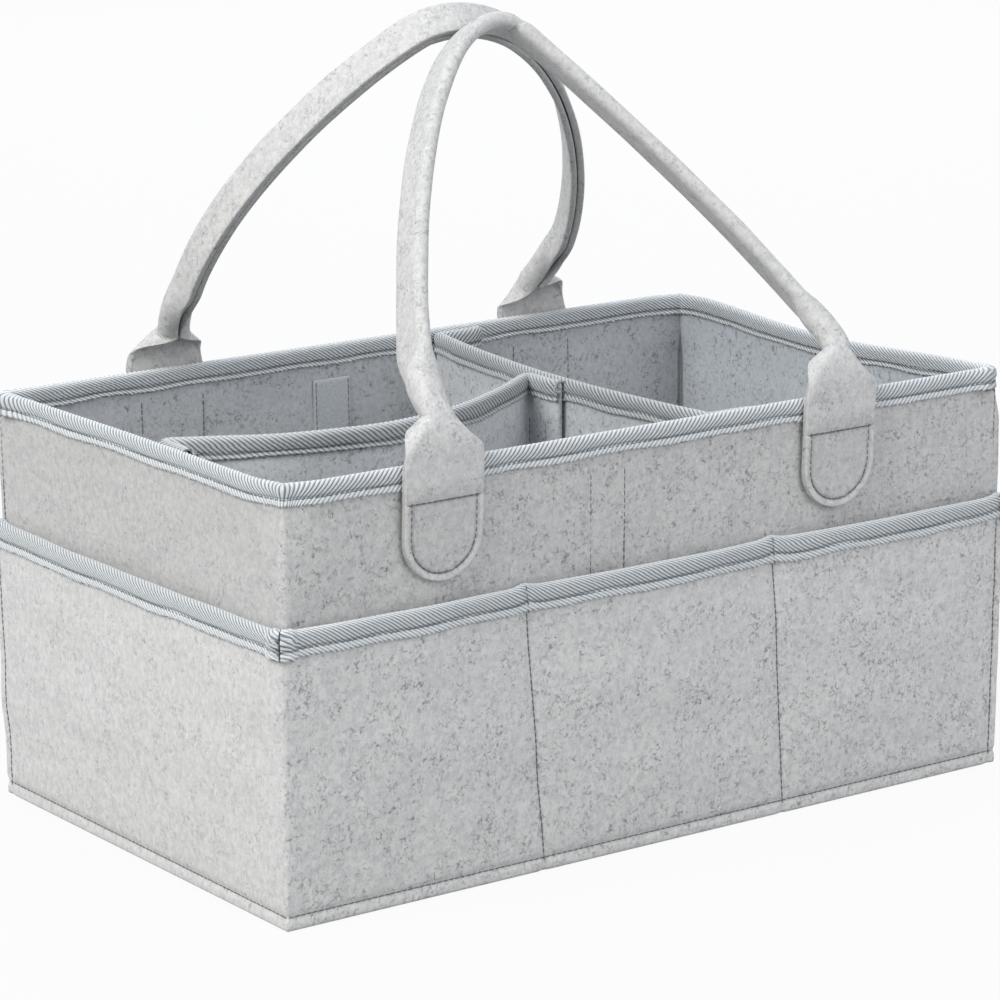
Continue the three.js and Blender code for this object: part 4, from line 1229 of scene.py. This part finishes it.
# Stitches of the body: rim, foot, corners, pockets and mouths
seamSpec = dict(
    rimDrop=6.5 * mm, mouthDrop=7.4 * mm, onTape=0.35 * mm, sunk=0.05 * mm, press=0.8, foldEnd=1.5 * mm,
    end=1 * mm, wallTop=11 * mm,
)
outerTape = half + gap + tapeThick - 0.5 * mm
rimS = np.linspace(0, rimLine.length, 900)
rimLines = [rimPlace(rimS, side * outerTape, rimTop - seamSpec["rimDrop"]) for side in (1, -1)]
stitches("rim_stitches", "caddy", rimLines, 63)
footLines, seamLines, mouthLines = [], [], []
pressed = half - pocketSpec["press"] * seamSpec["press"]
overTape = np.linspace(mouthTop - mouthSpec["legOut"], mouthTop - seamSpec["foldEnd"], 12)
for line, turned in ((frontPockets, False), (backPockets, True)):
    place, end = pocketPlace(line, turned), seamSpec["end"]
    footLines.append(place(np.linspace(line.seams[0], line.seams[3], 500), pressed, footSeam))
    z = np.linspace(footSeam, pocketSpec["top"] - end, 70)
    for seam in line.seams[1:3] if turned else line.seams:
        seamLines.append(place(seam, pressed, z))
        seamLines.append(place(seam, outerTape + seamSpec["onTape"], overTape))
    for a, b in ((0, line.corner - end), (line.corner + end, line.length)):
        s = np.linspace(a + end, b - end, 400)
        mouthLines += [place(s, side * outerTape, mouthTop - seamSpec["mouthDrop"]) for side in (1, -1)]
stitches("foot_stitches", "caddy", footLines, 64)
upper = np.linspace(mouthTop, rimTop - seamSpec["wallTop"], 40)
for seam in (frontPockets.seams[0], frontLeft.length - frontPockets.seams[0]):
    seamLines.append(onWall(frontLeft, seam, -seamSpec["sunk"], upper))
stitches("seam_stitches", "caddy", seamLines, 65)
piece = stitches("mouth_stitches", "caddy", mouthLines, 66)
print("body stitches", len(piece.data.polygons))

# Dividers: bowed felt panels with bound tops and hook tabs folded at their ends
dividerSpec = dict(
    step=2.2 * mm, rise=3 * mm, fold=2.4 * mm, tab=24 * mm, bowSteps=24, low=floorTop + gap,
    top=dividerTop - tapeThick - gap, tuck=1.5 * mm, tuckReach=6 * mm, wave=0.3 * mm, waveLength=60 * mm,
    loose=(26 * mm, 50 * mm), cool=0.7, hookMargin=8 * mm, hookTop=11 * mm, hookShare=0.9, threadEnd=1.5 * mm,
)
fraySpec = dict(
    count=16, end=0.4 * mm, drop=(1 * mm, 9 * mm), near=0.75, sides=(-1, 0.6), away=0.25 * mm,
    length=(1 * mm, 3.2 * mm),
)
seat = 2 * (tapeThick + gap) + gap + half
crossSpec = dict(front=32 * mm, back=39 * mm, bow=10 * mm, reach=halfWidth - felt - seat, lean=-1.2, seed=72)
longSpec = dict(left=-5 * mm, right=9 * mm, bow=39 * mm, lean=1.2, seed=73)
# Divider tapes, down inside the caddy, get painted shade
dividerTape = {**tapeSpec, "dim": 0.2}


def crossAt(share):
    x = mix(crossSpec["front"], crossSpec["back"], share) - crossSpec["bow"] * math.sin(math.pi * share)
    return np.array([x, mix(-crossSpec["reach"], crossSpec["reach"], share)])


# Plan of a divider: the first tab, the bowed panel, the last tab
def dividerLine(firstTab, at, lastTab):
    fold, steps = dividerSpec["fold"], dividerSpec["bowSteps"]
    bowed = [(*at(k / steps), 0) for k in range(2, steps - 1)]
    return PlanLine([(*firstTab, 0), (*at(0), fold), *bowed, (*at(1), fold), (*lastTab, 0)])


def divider(body, line, follow, own):
    spec, seed, length = dividerSpec, own["seed"], line.length

    def place(s, off, z):
        fromEnd = np.minimum(s, length - s)
        off = off + ripple(seed, spec["wave"], spec["waveLength"], s, z) * smooth(fromEnd, *spec["loose"])
        off = off + spec["tuck"] * (1 - smooth(fromEnd, 0, spec["tuckReach"]))
        return follow(xyz(*line.at(s, off), z))
    stations = spread(0, length, spec["step"], [line.middle(1), line.middle(-2)])
    heights = spread(spec["low"], spec["top"], spec["rise"])
    # Both faces of a divider get bluish painted shade
    feltPiece = panel(body + "_felt", stations, heights, place, cool=(spec["cool"], spec["cool"]))
    ready(feltPiece, body, "felt", body + "_panel")
    feltSheet(spec["top"] - spec["low"], length)
    tape = {**dividerTape, "seed": seed, "slopeOut": own["lean"], "slopeIn": own["lean"]}
    tapePiece = foldedTape(body + "_tape", place, 0, length, dividerTop, tape)
    ready(tapePiece, body, "twill_tape", body + "_binding")
    tapeSheet(tape, length)
    s = np.linspace(spec["threadEnd"], length - spec["threadEnd"], 400)
    lines = [place(s, side * outerTape, dividerTop - seamSpec["rimDrop"]) for side in (1, -1)]
    tab = (spec["tuckReach"], spec["hookShare"] * spec["tab"])
    heights = (spec["low"] - gap + spec["hookMargin"], dividerTop - spec["hookTop"] - spec["hookMargin"])
    nodes = [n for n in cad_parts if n.startswith(body + "_hook")]
    nodes.sort(key=lambda n: "front" in n or "left" in n, reverse=True)
    for node, edges in zip(nodes, (tab, (length - tab[1], length - tab[0]))):
        sewn, z = hookStrip(
            node + "_strip", body, node, edges, heights, lambda u, depth, z: place(u, half + gap + depth, z)
        )
        lines += [place(s, hookSpec["sunk"] - half, z) for s in sewn]
    stitches(body + "_stitches", body, lines, seed)
    # the tape's cut ends are frayed
    fray, rng = fraySpec, np.random.default_rng(seed)
    starts, ways = [], []
    for at, step in ((fray["end"], -fray["end"]), (length - fray["end"], fray["end"])):
        high = dividerTop - rng.uniform(*fray["drop"], fray["count"])
        off = np.where(rng.random(fray["count"]) < fray["near"], *fray["sides"]) * outerTape
        here = place(at, off, high)
        away = place(at + step, off - fray["away"], high) - here
        starts += list(here)
        ways += list(away / np.linalg.norm(away, axis=1)[:, None])
    strands(body + "_frays", body, starts, ways, rng.uniform(*fray["length"], len(starts)), seed)


tabLength, crossReach = dividerSpec["tab"], crossSpec["reach"]
crossLine = dividerLine(
    (crossSpec["front"] + tabLength, -crossReach), crossAt, (crossSpec["back"] + tabLength, crossReach)
)


def crossFollow(points):
    points[..., 1] *= 1 + flare(points[..., 2]) / crossReach
    return points


divider("cross_divider", crossLine, crossFollow, crossSpec)
leftX = felt + seat - halfLength
share = (longSpec["right"] + crossReach) / (2 * crossReach)
along = crossAt(share - tabLength / (2 * crossReach)) - crossAt(share)
along /= np.linalg.norm(along)
longCorner = crossAt(share) + np.array([along[1], -along[0]]) * (half + seat)


def longAt(part):
    y = mix(longSpec["left"], longCorner[1], part) - longSpec["bow"] * math.sin(math.pi * part)
    return np.array([mix(leftX, longCorner[0], part), y])


longLine = dividerLine((leftX, longSpec["left"] - tabLength), longAt, longCorner + along * tabLength)


def longFollow(points):
    part = np.clip((points[..., 0] - leftX) / (longCorner[0] - leftX), 0, 1)
    atRim = points.copy()
    atRim[..., 2] = rimTop
    points[..., 0] += settle(atRim)[..., 0] - atRim[..., 0] - flare(points[..., 2]) * (1 - part)
    return points


divider("long_divider", longLine, longFollow, longSpec)
print("dividers, meshes so far", len(bpy.data.meshes))

# Camera, as fitted to the photograph
view = dict(
    place=(-1.03331, -1.442356, 0.563981), azimuth=-35.57345, elevation=13.775326, roll=-0.4078,
    focal=4.1284947,
)
camera = bpy.data.cameras.new("camera")
camera.lens = view["focal"] * camera.sensor_width
camera.clip_start, camera.clip_end = 0.05, 50
eye = linked("camera", camera)
turn, tilt, roll = (math.radians(view[k]) for k in ("azimuth", "elevation", "roll"))
back = Vector((math.sin(turn) * math.cos(tilt), -math.cos(turn) * math.cos(tilt), math.sin(tilt)))
right = (-back).cross(Vector((0, 0, 1))).normalized()
up = right.cross(-back)
right, up = right * math.cos(roll) + up * math.sin(roll), up * math.cos(roll) - right * math.sin(roll)
basis = Matrix((right, up, back)).transposed().to_4x4()
basis.translation = view["place"]
eye.matrix_world = basis
bpy.context.scene.camera = eye

# Pale table, soft light from the upper left, white surroundings
stageSpec = dict(
    size=30.0, floor=0.45, rough=0.9, white=0.93, ambient=0.35, sky=(0.84, 0.95, 1.08), aim=(0, 0, 0.15),
)


# The camera sees a share of plain white in place of the shader that lights the scene
def whiten(tree, shader, kind, output, share):
    start = Signal(tree)
    plain = start.node(kind, [("Color", (1, 1, 1, 1)), ("Strength", 1.0)])
    seen = start.node("ShaderNodeLightPath", []) * share
    shown = start.node("ShaderNodeMixShader", [(0, seen), (1, Signal(tree, shader.outputs[0])), (2, plain)])
    tree.links.new(shown.socket, tree.nodes[output].inputs["Surface"])


floorMesh = bpy.data.meshes.new("table")
r = stageSpec["size"]
floorMesh.from_pydata([(-r, -r, 0), (r, -r, 0), (r, r, 0), (-r, r, 0)], [], [(0, 1, 2, 3)])
table = linked("table", floorMesh)
ground = bpy.data.materials.new("tableWhite")
ground.use_nodes = True
principled = ground.node_tree.nodes["Principled BSDF"]
principled.inputs["Base Color"].default_value = (*grey(stageSpec["floor"]), 1)
principled.inputs["Roughness"].default_value = stageSpec["rough"]
whiten(ground.node_tree, principled, "ShaderNodeEmission", "Material Output", stageSpec["white"])
floorMesh.materials.append(ground)

world = bpy.data.worlds.new("room")
world.use_nodes = True
bpy.context.scene.world = world
plain = world.node_tree.nodes["Background"]
plain.inputs["Color"].default_value = (*stageSpec["sky"], 1)
plain.inputs["Strength"].default_value = stageSpec["ambient"]
whiten(world.node_tree, plain, "ShaderNodeBackground", "World Output", 1.0)

lamps = (
    dict(name="key", place=(-2.2, -0.3, 1.9), size=1.6, power=68, tint=(1.0, 0.985, 0.955)),
    dict(name="fill", place=(0.6, -2.4, 1.6), size=2.2, power=38, tint=(0.99, 0.99, 1.0)),
    dict(name="rear", place=(1.7, 2.2, 1.5), size=2.0, power=46, tint=(0.98, 0.99, 1.0)),
    dict(name="top", place=(-0.5, 0.2, 2.6), size=2.4, power=24, tint=(0.90, 0.97, 1.06)),
)
for spec in lamps:
    light = bpy.data.lights.new(spec["name"], "AREA")
    light.size = spec["size"]
    light.energy = spec["power"]
    light.color = spec["tint"]
    lamp = linked(spec["name"], light)
    lamp.location = spec["place"]
    lamp.rotation_mode = "QUATERNION"
    lamp.rotation_quaternion = (Vector(stageSpec["aim"]) - Vector(spec["place"])).to_track_quat("-Z", "Y")
bpy.context.scene.view_settings.view_transform = "Standard"
print("stage")
